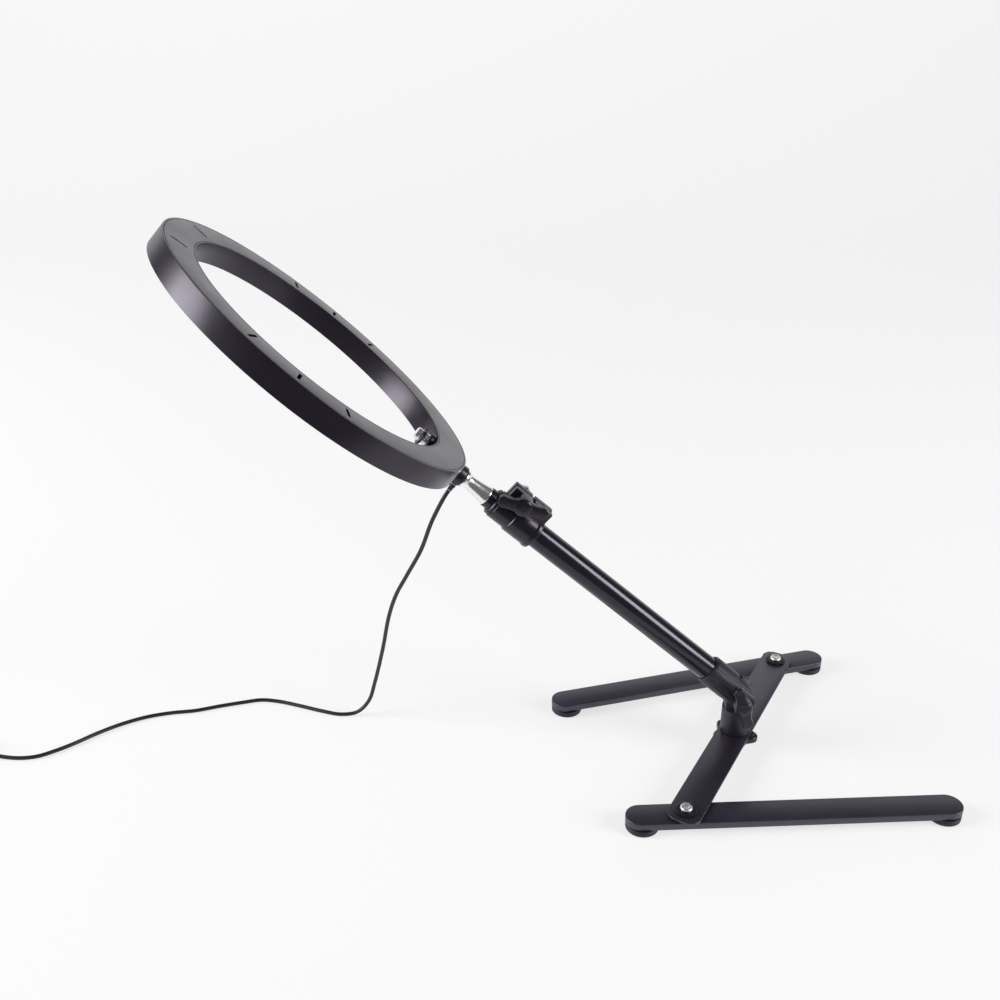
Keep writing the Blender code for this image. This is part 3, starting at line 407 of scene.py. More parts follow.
def apply_modifiers(obj):
    bpy.context.view_layer.update()
    graph = bpy.context.evaluated_depsgraph_get()
    mesh = bpy.data.meshes.new_from_object(obj.evaluated_get(graph))
    obj.modifiers.clear()
    obj.data = mesh


def softened(obj, width, segments=3, angle_deg=40):
    """Rounds the edges of a mesh that turn more sharply than the given angle."""
    if width:
        bevel = obj.modifiers.new("Edge", "BEVEL")
        bevel.width, bevel.segments = width, segments
        bevel.limit_method, bevel.angle_limit = "ANGLE", math.radians(angle_deg)
        bevel.harden_normals = False
        apply_modifiers(obj)
    shaded(obj.data, 50)
    return obj


def slab(name, outline, bottom, top, matrix, bevel=0.0004, segments=3):
    """A flat outline given a thickness and rounded edges."""
    shape = bmesh.new()
    lower = [shape.verts.new((x, y, bottom)) for x, y in outline]
    upper = [shape.verts.new((x, y, top)) for x, y in outline]
    shape.faces.new(lower[::-1])
    shape.faces.new(upper)
    count = len(outline)
    for i in range(count):
        shape.faces.new((lower[i], lower[(i + 1) % count], upper[(i + 1) % count], upper[i]))
    bmesh.ops.recalc_face_normals(shape, faces=shape.faces)
    return softened(finished(name, shape, matrix), bevel, segments)


def arc(centre, radius, start_deg, end_deg, count):
    angles = [math.radians(start_deg + (end_deg - start_deg) * i / count) for i in range(count + 1)]
    return [(centre[0] + radius * math.cos(a), centre[1] + radius * math.sin(a)) for a in angles]


def hexagon(corner_r):
    return arc((0, 0), corner_r, 0, 300, 5)


def rectangle(x0, x1, y0, y1, corner=0.0, steps=6):
    if not corner:
        return [(x0, y0), (x1, y0), (x1, y1), (x0, y1)]
    made = []
    for cx, cy, start in ((x1 - corner, y0 + corner, -90), (x1 - corner, y1 - corner, 0),
                          (x0 + corner, y1 - corner, 90), (x0 + corner, y0 + corner, 180)):
        made += arc((cx, cy), corner, start, start + 90, steps)
    return made


def box(name, x, y, z, matrix, bevel=0.0004, segments=3):
    """A block between pairs of x, y and z."""
    return slab(name, rectangle(*x, *y), *z, matrix, bevel, segments)


def cut(obj, other, operation="DIFFERENCE"):
    """Applies an exact Boolean with a helper object, which is then removed."""
    modifier = obj.modifiers.new("Cut", "BOOLEAN")
    modifier.operation, modifier.solver, modifier.object = operation, "EXACT", other
    apply_modifiers(obj)
    bpy.data.objects.remove(other, do_unlink=True)
    return obj


def bored(obj, matrix, radius, low, high, steps=48):
    """Drills a round hole along the Z axis of the given frame."""
    cut(obj, lathe("bore", [(0, high), (radius, high), (radius, low), (0, low)], matrix, steps))
    shaded(obj.data, 38)


def joined(name, *objects):
    """One object from several closed shapes that meet."""
    shape = bmesh.new()
    base = objects[0].matrix_world.copy()
    bpy.context.view_layer.update()
    for obj in objects:
        mesh = obj.data.copy()
        mesh.transform(base.inverted() @ obj.matrix_world)
        shape.from_mesh(mesh)
        bpy.data.meshes.remove(mesh)
    for obj in objects:
        bpy.data.objects.remove(obj, do_unlink=True)
    return finished(name, shape, base, 50)


def extra(obj, slot, body, look=None):
    """Gives a finished piece the material for its slot, or the given look, and the body that it rides on."""
    bpy.context.view_layer.update()
    # The placing goes into the mesh, so that the piece's box is measured along the shared axes.
    obj.data.transform(obj.matrix_world)
    obj.matrix_world = Matrix.Identity(4)
    obj.data.validate()
    obj.data.materials.clear()
    obj.data.materials.append(looks[look or slot])
    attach(obj, body)
    return obj


def piece(obj, node, look=None):
    """A finished piece that stands for a CAD node, and takes its slot and its body from it."""
    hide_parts(node)
    return extra(obj, slots[node], body_of[node], look)


# --- Base -----------------------------------------------------------------------------------------
BAR_DEG = 61.35
HALF_SPACING = 0.2235 / 2
LEG_FRONT_DEG, LEG_REAR_DEG = 3.05, 196.0
LEG_AHEAD, LEG_BEHIND, LEG_HALF = 0.2079, 0.0448, 0.0111
LEG_LOW, LEG_TOP = 0.0057, 0.0116
FOOT_R, FOOT_TOP, FOOT_INSET = 0.0125, 0.0054, 0.0128
BAR_HALF, BAR_SHIFT, BAR_CORNER = 0.0128, -0.0003, 0.0062
BAR_LOW, BAR_TOP = 0.0124, 0.0142
BAR_HOLE_R, BAR_HOLE_OUT, BAR_HOLE_DEG = 0.0013, 0.0781, 71.6
WASHER_Z, WASHER_THICK = 0.0145, 0.0016
NUT_R, NUT_HIGH = 0.0058, 0.0045
PIVOT_NUT_LOW = 0.0022
BASE_KNOB_R, BASE_KNOB_LOBE, BASE_KNOB_LOBES, BASE_KNOB_DEG = 0.0161, 0.0024, 5, -20
BASE_KNOB_LOW, BASE_KNOB_TOP = 0.0062, 0.0115


def flat_leg(side, leg):
    outline = arc((LEG_AHEAD - LEG_HALF, 0), LEG_HALF, -90, 90, 28)
    outline += arc((LEG_HALF - LEG_BEHIND, 0), LEG_HALF, 90, 270, 28)
    piece(slab(f"flat_leg_{side}", outline, LEG_LOW, LEG_TOP, leg, bevel=0.0006), f"leg_{side}")


def round_foot(name, node, place):
    """A foot with a groove round it, a chamfered lower edge and a shallow hollow underneath."""
    groove_z, groove, chamfer = 0.0039, 0.0003, 0.0010
    hollow_r, hollow = 0.0082, 0.0005
    profile = [(0, FOOT_TOP), (FOOT_R, FOOT_TOP), (FOOT_R, groove_z + groove), (FOOT_R - groove, groove_z),
               (FOOT_R, groove_z - groove), (FOOT_R, chamfer), (FOOT_R - 0.0012, 0.0),
               (hollow_r + 0.0003, 0.0), (hollow_r, hollow), (0, hollow)]
    piece(lathe(name, rounded(profile, 0.0004), place, steps=72), node)


def toothed_washer(side, pivot):
    bore, rim, edge, top = 0.0033, 0.0083, 0.0013, WASHER_Z + WASHER_THICK
    profile = [(rim, WASHER_Z + edge), (rim, WASHER_Z), (bore, WASHER_Z), (bore, top), (2 * bore, top)]
    teeth = lathe(f"toothed_washer_{side}", rounded(profile, 0.0003, steps=3), pivot, steps=112, flutes=28,
                  flute_depth=0.0004)
    piece(teeth, f"pivot_washer_{side}")


def dished_bolt(side, pivot):
    """A bolt whose low head is dished in the middle, on a shank that reaches down through the leg."""
    under = WASHER_Z + WASHER_THICK + GAP
    head_r, shank_r, shank_end = 0.0047, 0.0030, 0.0016
    profile = [(0, under + 0.0015), (0.0016, under + 0.0015), (0.0024, under + 0.0019),
               (0.0032, under + 0.0020), (0.0042, under + 0.0015), (head_r, under + 0.0005),
               (head_r - 0.0001, under), (shank_r, under), (shank_r, shank_end + 0.0004),
               (shank_r - 0.0004, shank_end), (0, shank_end)]
    bolt = lathe(f"dished_bolt_{side}", rounded(profile, 0.0005), pivot, steps=64)
    piece(bolt, f"pivot_bolt_{side}", look="bright_zinc")


def cross_plate():
    """A flat bar with cut corners, and a small hole towards its rear end."""
    end, corner = HALF_SPACING + BAR_HALF, BAR_CORNER
    quarter = [(end - corner, BAR_HALF), (end - corner * 0.3, BAR_HALF - corner * 0.45),
               (end, BAR_HALF - corner * 1.2)]
    outline = [(x, -y) for x, y in quarter] + quarter[::-1]
    outline += [(-x, -y) for x, y in outline]
    outline = [(x, y + BAR_SHIFT) for x, y in outline]
    plate = slab("cross_plate", outline, BAR_LOW, BAR_TOP, STAND @ turn(BAR_DEG, "Z"))
    angle, below, above = math.radians(BAR_HOLE_DEG), BAR_LOW - 0.0024, BAR_TOP + 0.0018
    place = STAND @ move(BAR_HOLE_OUT * math.cos(angle), BAR_HOLE_OUT * math.sin(angle))
    drill = [(0, below), (BAR_HOLE_R, below), (BAR_HOLE_R, above), (0, above)]
    cut(plate, lathe("drill", drill, place, steps=32))
    shaded(plate.data, 50)
    piece(plate, "crossbar")


def lobed_knob():
    outline, points = [], 160
    for i in range(points):
        angle = math.tau * i / points
        radius = BASE_KNOB_R + BASE_KNOB_LOBE * math.cos(BASE_KNOB_LOBES * angle)
        outline.append((radius * math.cos(angle), radius * math.sin(angle)))
    place = STAND @ turn(BASE_KNOB_DEG, "Z")
    knob = slab("lobed_knob", outline, BASE_KNOB_LOW, BASE_KNOB_TOP, place, bevel=0.0012, segments=5)
    piece(knob, "base_knob")


def base_pieces():
    bar = math.radians(BAR_DEG)
    for side, way, heading in (("front", -1, LEG_FRONT_DEG), ("rear", 1, LEG_REAR_DEG)):
        pivot = STAND @ move(way * HALF_SPACING * math.cos(bar), way * HALF_SPACING * math.sin(bar))
        leg = pivot @ turn(heading, "Z")
        flat_leg(side, leg)
        for end, at in (("long", LEG_AHEAD - FOOT_INSET), ("short", FOOT_INSET - LEG_BEHIND)):
            round_foot(f"round_foot_{side}_{end}", f"foot_{side}_{end}", leg @ move(at))
        toothed_washer(side, pivot)
        dished_bolt(side, pivot)
        nut = slab(f"pivot_hex_{side}", hexagon(NUT_R), PIVOT_NUT_LOW, LEG_LOW - GAP, pivot)
        piece(nut, f"pivot_nut_{side}")
    cross_plate()
    lobed_knob()


# --- Post, hinge and mast -------------------------------------------------------------------------
POST_R, POST_LOW, POST_TOP = 0.0121, 0.0145, HINGE_Z + 0.0118
TONGUE_R, TONGUE_HALF, TONGUE_LOW = 0.0108, 0.0061, 0.0365
STUD_HOLE_R, POST_HOLE_TOP = 0.0033, 0.0305
SOCKET_R, SOCKET_BORE, SOCKET_FLOOR = 0.0120, 0.0100, 0.0155
SOCKET_RIM_R, SOCKET_SHOULDER, SOCKET_RIM = 0.0104, 0.0340, 0.0362
EAR_R, EAR_HALF, EAR_FLAT_TOP, EAR_LOW = 0.0112, 0.0105, 0.0085, -0.0125
SLOT_HALF, SLOT_TOP, STEP_Z = 0.0064, 0.0116, 0.0010
OUTER_TUBE_R, OUTER_BORE_R, OUTER_LOW, OUTER_HIGH = 0.0097, 0.0085, 0.0158, 0.2490
INNER_TUBE_R, INNER_BORE_R, INNER_LOW, INNER_HIGH = 0.0079, 0.0069, 0.0950, 0.2645
LOCK_X, LOCK_Z = 0.0168, 0.2440
HINGE_FACE, HINGE_KNOB_DEG = 0.0108, -73.0
LOCK_FACE, LOCK_KNOB_DEG = 0.0065, -68.0


def tongue_post():
    """A turned post, its top cut down to a round-ended tongue with a hole across it."""
    profile = [(0, POST_TOP), (POST_R, POST_TOP), (POST_R, POST_LOW), (0, POST_LOW)]
    post = lathe("tongue_post", profile, PAN, steps=80)
    outline = [(-PAST, 0.0), (PAST, 0.0), (PAST, TONGUE_LOW), (TONGUE_R, TONGUE_LOW)]
    outline += arc((0, HINGE_Z), TONGUE_R, 0, 180, 32) + [(-TONGUE_R, TONGUE_LOW), (-PAST, TONGUE_LOW)]
    cut(post, slab("trim", outline, -PAST, PAST, PAN @ turn(90, "X"), bevel=0), "INTERSECT")
    for side in (-1, 1):
        cheek = sorted((side * TONGUE_HALF, side * PAST))
        cut(post, box("cheek", (-PAST, PAST), cheek, (TONGUE_LOW, 4 * PAST), PAN, bevel=0))
    softened(post, 0.0004, angle_deg=30)
    bored(post, PAN @ move(z=HINGE_Z) @ turn(90, "X"), STUD_HOLE_R, -PAST, PAST)
    bored(post, PAN, STUD_HOLE_R, 0.0, POST_HOLE_TOP)
    piece(post, "post", look="post_plastic")


def fork_knuckle():
    """The socket at the mast's foot, slotted into two flat ears that hold the tongue."""
    profile = [(0, SOCKET_FLOOR), (SOCKET_BORE, SOCKET_FLOOR), (SOCKET_BORE, SOCKET_RIM),
               (SOCKET_RIM_R, SOCKET_RIM), (SOCKET_R, SOCKET_SHOULDER), (SOCKET_R, EAR_LOW), (0, EAR_LOW)]
    knuckle = lathe("fork_knuckle", profile, MAST)
    outline = arc((0, 0), EAR_R, 180, 360, 32)
    outline += [(EAR_R, STEP_Z), (PAST, STEP_Z), (PAST, 3 * PAST)]
    outline += [(-PAST, 3 * PAST), (-PAST, STEP_Z), (-EAR_R, STEP_Z)]
    cut(knuckle, slab("trim", outline, -PAST, PAST, MAST @ turn(90, "X"), bevel=0), "INTERSECT")
    cut(knuckle, box("slot", (-PAST, PAST), (-SLOT_HALF, SLOT_HALF), (-PAST, SLOT_TOP), MAST, bevel=0))
    for side in (-1, 1):
        flat = sorted((side * EAR_HALF, side * PAST))
        cut(knuckle, box("flat", (-PAST, PAST), flat, (-PAST, EAR_FLAT_TOP), MAST, bevel=0))
    softened(knuckle, 0.0004, angle_deg=30)
    bored(knuckle, MAST @ turn(90, "X"), STUD_HOLE_R, -PAST, PAST)
    piece(knuckle, "tube_socket", look="post_plastic")


def mast_tubes():
    outer = [(OUTER_BORE_R, OUTER_HIGH), (OUTER_TUBE_R, OUTER_HIGH), (OUTER_TUBE_R, OUTER_LOW),
             (OUTER_BORE_R, OUTER_LOW)]
    piece(lathe("outer_mast_tube", rounded(outer, 0.0003), MAST, steps=128), "outer_tube")
    inner = [(INNER_BORE_R, INNER_HIGH), (INNER_TUBE_R, INNER_HIGH), (INNER_TUBE_R, INNER_LOW),
             (INNER_BORE_R, INNER_LOW)]
    piece(lathe("inner_mast_tube", rounded(inner, 0.0002), MAST, steps=112), "inner_tube")


def wing_knob(name, axis, face, direction_deg):
    """Two blades that narrow into a round hub. Their outline is worked out for one quarter."""
    tip_r, hub_r, reach, waist, steps = 0.0044, 0.0066, 0.0193, 0.78, 10
    tip = arc((reach - tip_r, 0), tip_r, 0, 100, 14)
    shoulder = arc((0, 0), hub_r, 52, 90, 8)
    (x0, y0), (x2, y2) = tip[-1], shoulder[0]
    x1, y1 = (x0 + x2) / 2, min(y0, y2) * waist
    flank = []
    for i in range(1, steps):
        t = i / steps
        flank.append(((1 - t) ** 2 * x0 + 2 * t * (1 - t) * x1 + t * t * x2,
                      (1 - t) ** 2 * y0 + 2 * t * (1 - t) * y1 + t * t * y2))
    quarter = tip + flank + shoulder
    half = quarter + [(-x, y) for x, y in quarter[-2::-1]]
    outline = half + [(x, -y) for x, y in half[-2:0:-1]]
    wing, blade_thick = face + 0.0063, 0.0060
    crown, boss_r = wing + blade_thick, 0.0070
    place = axis @ turn(direction_deg, "Z")
    blades = slab(f"{name}_blades", outline, wing, crown, place, bevel=0.0010, segments=4)
    profile = [(0, crown + 0.0009), (0.0030, crown + 0.0009), (0.0056, crown + 0.0004),
               (boss_r, crown - 0.0010), (boss_r, wing - 0.0020), (hub_r, wing - 0.0026),
               (hub_r, face + 0.0008), (hub_r - 0.0004, face), (0, face)]
    boss = lathe(f"{name}_boss", rounded(profile, 0.0008, steps=5), place, steps=72)
    piece(joined(f"{name}_wing_knob", blades, boss), f"{name}_knob")


def hinge_pieces():
    tongue_post()
    fork_knuckle()
    mast_tubes()
    for name, place in (("hinge", PAN @ move(0, HINGE_FACE, HINGE_Z)),
                        ("lock", MAST @ move(LOCK_X, LOCK_FACE, LOCK_Z))):
        nut = slab(f"{name}_hex_nut", hexagon(NUT_R), 0.0, NUT_HIGH, place @ turn(-90, "X"), bevel=0.0005)
        piece(nut, f"{name}_nut")
    wing_knob("hinge", PAN @ move(z=HINGE_Z) @ turn(90, "X"), HINGE_FACE, HINGE_KNOB_DEG)
    wing_knob("lock", MAST @ move(x=LOCK_X, z=LOCK_Z) @ turn(90, "X"), LOCK_FACE, LOCK_KNOB_DEG)


# --- Clamp and mount ------------------------------------------------------------------------------
CLAMP_START, CLAMP_STEP, CLAMP_END = 0.2180, 0.2405, 0.2566
CLAMP_R, CLAMP_NECK_R, CLAMP_LIP_R, CLAMP_BORE_R = 0.0123, 0.0112, 0.0129, 0.0100
BUSH_R, BUSH_BORE_R, BUSH_LOW = 0.0104, 0.0082, 0.2493
SPIGOT_TOP, SPIGOT_STUD_R, SPIGOT_STUD_TOP = 0.2876, 0.0025, 0.2993
SPIGOT_PLUG_R, SPIGOT_PLUG_LONG = 0.0066, 0.0140
COLLAR_R, COLLAR_TOP, MOUNT_HOLE_R = 0.0080, 0.2959, 0.0028


def mast_clamp():
    """A collar with a lip at its start, and two notched ears with a gap between for the lock knob."""
    profile = [(0.0106, CLAMP_END), (CLAMP_NECK_R, CLAMP_END - 0.0006),
               (CLAMP_NECK_R, CLAMP_STEP + 0.0009), (0.0116, CLAMP_STEP + 0.0005), (CLAMP_R, CLAMP_STEP),
               (CLAMP_R, CLAMP_START + 0.0046), (CLAMP_LIP_R, CLAMP_START + 0.0036),
               (CLAMP_LIP_R, CLAMP_START + 0.0008), (CLAMP_LIP_R - 0.0012, CLAMP_START),
               (CLAMP_BORE_R, CLAMP_START), (CLAMP_BORE_R, CLAMP_END)]
    shapes = [lathe("clamp_body", rounded(profile, 0.0005), MAST, steps=112)]
    ear_x, ear_y, ear_z = (0.0070, 0.0217), (0.0010, 0.0062), (0.2197, 0.2544)
    notch_x, notch_z = (0.0197, 0.03), (0.2362, 0.2388)
    for side in (-1, 1):
        across = sorted(side * y for y in ear_y)
        ear = box("clamp_ear", ear_x, across, ear_z, MAST, bevel=0.0006, segments=4)
        cut(ear, box("notch", notch_x, (-PAST, PAST), notch_z, MAST, bevel=0))
        bored(ear, MAST, CLAMP_BORE_R, low=0.21, high=0.27, steps=96)
        shapes.append(ear)
    piece(joined("mast_clamp", *shapes), "lock_collar")


def ribbed_bush():
    top, groove_z, groove = CLAMP_END + 0.0031, CLAMP_END + 0.0016, 0.0003
    profile = [(BUSH_BORE_R, top), (0.0092, top), (BUSH_R, top - 0.0009), (BUSH_R, groove_z + groove),
               (BUSH_R - groove, groove_z), (BUSH_R, groove_z - groove), (BUSH_R, CLAMP_END + GAP),
               (OUTER_TUBE_R, CLAMP_END + GAP), (OUTER_TUBE_R, BUSH_LOW), (BUSH_BORE_R, BUSH_LOW)]
    piece(lathe("ribbed_bush", rounded(profile, 0.0003, steps=3), MAST), "guide_bush")


def waisted_spigot():
    """A stud, a flange, a narrow waist that widens downwards, and the plug inside the tube."""
    base, base_r = INNER_HIGH + GAP, 0.0075
    profile = [(0, SPIGOT_STUD_TOP), (SPIGOT_STUD_R, SPIGOT_STUD_TOP), (SPIGOT_STUD_R, SPIGOT_TOP),
               (0.0066, SPIGOT_TOP), (0.0070, 0.2872), (0.0070, 0.2858), (0.0062, 0.2846),
               (0.0056, 0.2836), (0.0055, 0.2815), (0.0057, 0.2790), (0.0061, 0.2750),
               (0.0066, 0.2710), (0.0071, 0.2680), (base_r, base + 0.0010), (base_r, base),
               (SPIGOT_PLUG_R, base), (SPIGOT_PLUG_R, base - SPIGOT_PLUG_LONG), (0, base - SPIGOT_PLUG_LONG)]
    piece(lathe("waisted_spigot", rounded(profile, 0.0006), MAST), "spigot")


def collar_ring():
    low, chamfer = SPIGOT_TOP + GAP, 0.0005
    profile = [(COLLAR_R, COLLAR_TOP), (COLLAR_R, low + chamfer), (COLLAR_R - chamfer, low),
               (MOUNT_HOLE_R, low), (MOUNT_HOLE_R, COLLAR_TOP)]
    piece(lathe("collar_ring", rounded(profile, 0.0004, steps=3), MAST), "mount_collar")


def ribbed_gland():
    way = GLAND_AXIS.to_track_quat("Z", "Y").to_matrix().to_4x4()
    tip, foot = GLAND_LONG, 0.0001
    profile = [(0, tip), (0.0018, tip), (0.0020, tip - 0.0008), (0.0017, tip - 0.0014),
               (0.0021, tip - 0.0020), (0.0018, tip - 0.0026), (0.0023, tip - 0.0032),
               (0.0024, 0.0006), (0.0024, foot), (0, foot)]
    place = MAST @ Matrix.Translation(GLAND_AT) @ way
    piece(lathe("ribbed_gland", rounded(profile, 0.0002, steps=3), place, steps=48), "cord_gland")


def clamp_pieces():
    mast_clamp()
    ribbed_bush()
    waisted_spigot()
    collar_ring()
    ribbed_gland()


# --- Ring head ------------------------------------------------------------------------------------
RING_IN_R, RING_TOP = 0.1043, 0.0166 / 2
OUT_WALL, IN_WALL = 0.0035, 0.0025
COVER_IN_R, COVER_OUT_R, COVER_THICK = 0.1056, 0.1282, 0.0018
SLOT_DEGS = (70.7, 88.7, 106.7, 160.1, 194.7, 247.9, 265.9, 283.9)
VENT_R, VENT_LONG, VENT_WIDE, VENT_CORNER = 0.1172, 0.0125, 0.0024, 0.0010
WEB_TOP, WEB_LOW = RING_TOP - 0.0040, RING_TOP - 0.0052
STUD_Z = 0.0004
STUD_FOOT = -(RING_IN_R - 0.0006)
BOSS_R, BOSS_HIGH, STUD_R, STUD_LONG = 0.0066, 0.0040, 0.0046, 0.0135
THREAD_START, THREAD_PITCH, THREAD_DEPTH = 0.0030, 0.0008, 0.0004
NUT_BORE_R, THUMB_NUT_R, THUMB_NUT_AT, THUMB_NUT_HIGH = 0.0049, 0.0069, 0.0075, 0.0022


def back_plate():
    """The flat cover on the ring's back, with its eight slots."""
    low = RING_TOP - COVER_THICK
    profile = [(COVER_OUT_R, RING_TOP), (COVER_OUT_R, low), (COVER_IN_R, low), (COVER_IN_R, RING_TOP)]
    cover = lathe("back_plate", rounded(profile, 0.0002, steps=3), RING, steps=288)
    outline = rectangle(-VENT_LONG / 2, VENT_LONG / 2, -VENT_WIDE / 2, VENT_WIDE / 2, VENT_CORNER, 5)
    for degrees in SLOT_DEGS:
        place = RING @ turn(degrees, "Z") @ move(VENT_R)
        cut(cover, slab("slot", outline, RING_TOP - 0.004, RING_TOP + 0.002, place, bevel=0))
    shaded(cover.data, 38)
    piece(cover, "back_cover")


def ring_shell():
    """A deep ring with a web across it, open to the front and with a shelf for the cover at the back."""
    out_in, in_out, shelf = RING_OUT_R - OUT_WALL, RING_IN_R + IN_WALL, RING_TOP - COVER_THICK - GAP
    profile = [(COVER_OUT_R + GAP, RING_TOP), (RING_OUT_R, RING_TOP), (RING_OUT_R, -RING_TOP),
               (out_in, -RING_TOP), (out_in, WEB_LOW), (in_out, WEB_LOW), (in_out, -RING_TOP),
               (RING_IN_R, -RING_TOP), (RING_IN_R, RING_TOP), (COVER_IN_R - GAP, RING_TOP),
               (COVER_IN_R - GAP, shelf), (in_out, shelf), (in_out, WEB_TOP), (out_in, WEB_TOP),
               (out_in, shelf), (COVER_OUT_R + GAP, shelf)]
    housing = lathe("ring_shell", rounded(profile, 0.0005), RING, steps=288)
    bored(housing, MAST, MOUNT_HOLE_R, low=0.2850, high=0.3010)
    piece(housing, "ring_housing")


def opal_diffuser():
    low, thick, edge, dome = -RING_TOP + 0.0002, 0.0018, 0.0004, 0.0040
    first, last = RING_IN_R + IN_WALL + GAP, RING_OUT_R - OUT_WALL - GAP
    profile = [(last, low + thick), (last, low + edge), (last - dome, low), (first + dome, low),
               (first, low + edge), (first, low + thick)]
    piece(lathe("opal_diffuser", rounded(profile, 0.0006), RING, steps=256), "diffuser")


def stud_mount():
    """The phone holder's boss, threaded stud and knurled nut, which stand inwards from the ring."""
    mount, foot = RING @ move(z=STUD_Z) @ turn(-90, "Y"), STUD_FOOT
    boss = [(BOSS_R - 0.0008, foot + BOSS_HIGH), (BOSS_R, foot + BOSS_HIGH - 0.0008), (BOSS_R, foot),
            (NUT_BORE_R, foot), (NUT_BORE_R, foot + BOSS_HIGH)]
    piece(lathe("stud_boss", rounded(boss, 0.0004, steps=3), mount, steps=72), "accessory_boss")
    tip = foot + STUD_LONG
    thread = [(0, foot + GAP), (STUD_R, foot + GAP), (STUD_R, foot + THREAD_START)]
    for i in range(int((tip - 0.0010 - foot - THREAD_START) / THREAD_PITCH)):
        z = foot + THREAD_START + i * THREAD_PITCH
        thread += [(STUD_R - THREAD_DEPTH, z + 0.0003), (STUD_R, z + THREAD_PITCH)]
    thread += [(0.0040, tip), (0, tip)]
    piece(lathe("threaded_stud", thread[::-1], mount, steps=48), "accessory_stud")
    low, high, chamfer = foot + THUMB_NUT_AT, foot + THUMB_NUT_AT + THUMB_NUT_HIGH, 0.0004
    nut = [(THUMB_NUT_R - chamfer, high), (THUMB_NUT_R, high - chamfer), (THUMB_NUT_R, low + chamfer),
           (THUMB_NUT_R - chamfer, low), (NUT_BORE_R, low), (NUT_BORE_R, high)]
    piece(lathe("knurled_nut", nut, mount, steps=120, flutes=30, flute_depth=0.0003), "accessory_nut")


def ring_pieces():
    back_plate()
    ring_shell()
    opal_diffuser()
    stud_mount()


# --- Controller and plug --------------------------------------------------------------------------
SHELL_HALF, SHELL_CORNER = 0.0100, 0.0045
SHELL_SPLIT, SHELL_TOP = 0.0055, 0.0105
BUTTONS = {"dim": -0.0150, "power": 0.0, "bright": 0.0150}
BUTTON_TOP, BUTTON_LOW, BUTTON_R = 0.0116, 0.0087, 0.0036
WELL_FLOOR, WELL_R = 0.0077, 0.0039
GRIP_LONG, GRIP_HALF, GRIP_CORNER = 0.0260, 0.00775, 0.0022
SLEEVE_X, SLEEVE_HALF, SLEEVE_Z, SLEEVE_WALL = (0.0263, 0.0380), 0.0060, (0.00175, 0.00625), 0.0004


def controller_lower(outline):
    """The lower shell with the ribbed boot at each end, where the leads go in."""
    shapes = [slab("controller_lower", outline, 0.0, SHELL_SPLIT, CONTROLLER, bevel=0.0009, segments=4)]
    tip, root = BOOT_LONG, -0.004
    profile = [(0, tip), (0.0021, tip), (0.0022, tip - 0.0012), (0.0019, tip - 0.0018),
               (0.0025, tip - 0.0028), (0.0022, tip - 0.0034), (0.0029, tip - 0.0046),
               (0.0026, tip - 0.0052), (0.0034, 0.0), (0.0034, root), (0, root)]
    for end in (-1, 1):
        place = CONTROLLER @ move(end * CONTROLLER_LONG / 2, 0, CONTROLLER_CORD_Z) @ turn(90 * end, "Y")
        shapes.append(lathe(f"boot_{end + 1}", rounded(profile, 0.0003, steps=3), place, steps=40))
    piece(joined("controller_lower_shell", *shapes), "controller_base")


def controller_upper(outline):
    """The upper shell, with a well for each button."""
    upper = slab("controller_upper_shell", outline, SHELL_SPLIT + GAP, SHELL_TOP, CONTROLLER,
                 bevel=0.0012, segments=5)
    well = [(0, WELL_FLOOR), (WELL_R, WELL_FLOOR), (WELL_R, PAST), (0, PAST)]
    for at in BUTTONS.values():
        cut(upper, lathe("well", well, CONTROLLER @ move(at), steps=48))
    shaded(upper.data, 45)
    piece(upper, "controller_cover")


def button_caps():
    top = BUTTON_TOP
    profile = [(0, top - 0.0003), (0.0022, top - 0.0002), (0.0031, top), (BUTTON_R, top - 0.0006),
               (BUTTON_R, BUTTON_LOW), (0, BUTTON_LOW)]
    for name, at in BUTTONS.items():
        cap = lathe(f"{name}_cap", rounded(profile, 0.0004), CONTROLLER @ move(at), steps=48)
        piece(cap, f"button_{name}")


def plug_moulding():
    """The plug's grip with three ribs across it, and the ribbed boot behind."""
    outline = rectangle(0, GRIP_LONG, -GRIP_HALF, GRIP_HALF, GRIP_CORNER)
    shapes = [slab("plug_grip", outline, 0.0, PLUG_HIGH, PLUG, bevel=0.0014, segments=5)]
    rib_half, rib_z, rib_wide = GRIP_HALF + 0.00015, (0.0012, 0.0068), 0.0013
    for i in range(3):
        start = 0.0070 + 0.0035 * i
        shapes.append(box(f"grip_{i}", (start, start + rib_wide), (-rib_half, rib_half), rib_z, PLUG))
    tip, root = BOOT_LONG, -0.0020
    profile = [(0, tip), (0.0020, tip), (0.0021, tip - 0.0012), (0.0018, tip - 0.0018),
               (0.0025, tip - 0.0030), (0.0022, tip - 0.0036), (0.0032, 0.0), (0.0032, root), (0, root)]
    place = PLUG @ move(z=PLUG_HIGH / 2) @ turn(-90, "Y")
    shapes.append(lathe("plug_boot", rounded(profile, 0.0003, steps=3), place, steps=40))
    return piece(joined("plug_moulding", *shapes), "usb_plug_body")


def plug_sleeve():
    """The plug's metal sleeve, open in front, with its two latch windows."""
    (start, end), (low, high), half, wall = SLEEVE_X, SLEEVE_Z, SLEEVE_HALF, SLEEVE_WALL
    sleeve = box("plug_sleeve", SLEEVE_X, (-half, half), SLEEVE_Z, PLUG, bevel=0.0003)
    cut(sleeve, box("mouth", (start + 0.0012, end + 0.01), (-half + wall, half - wall),
                    (low + wall, high - wall), PLUG, bevel=0))
    window_y, window_half = 0.0028, 0.0011
    for y in (-window_y, window_y):
        cut(sleeve, box("window", (start + 0.0050, start + 0.0075), (y - window_half, y + window_half),
                        (high - 0.001, high + 0.001), PLUG, bevel=0))
    shaded(sleeve.data, 40)
    return piece(sleeve, "usb_plug_shell")


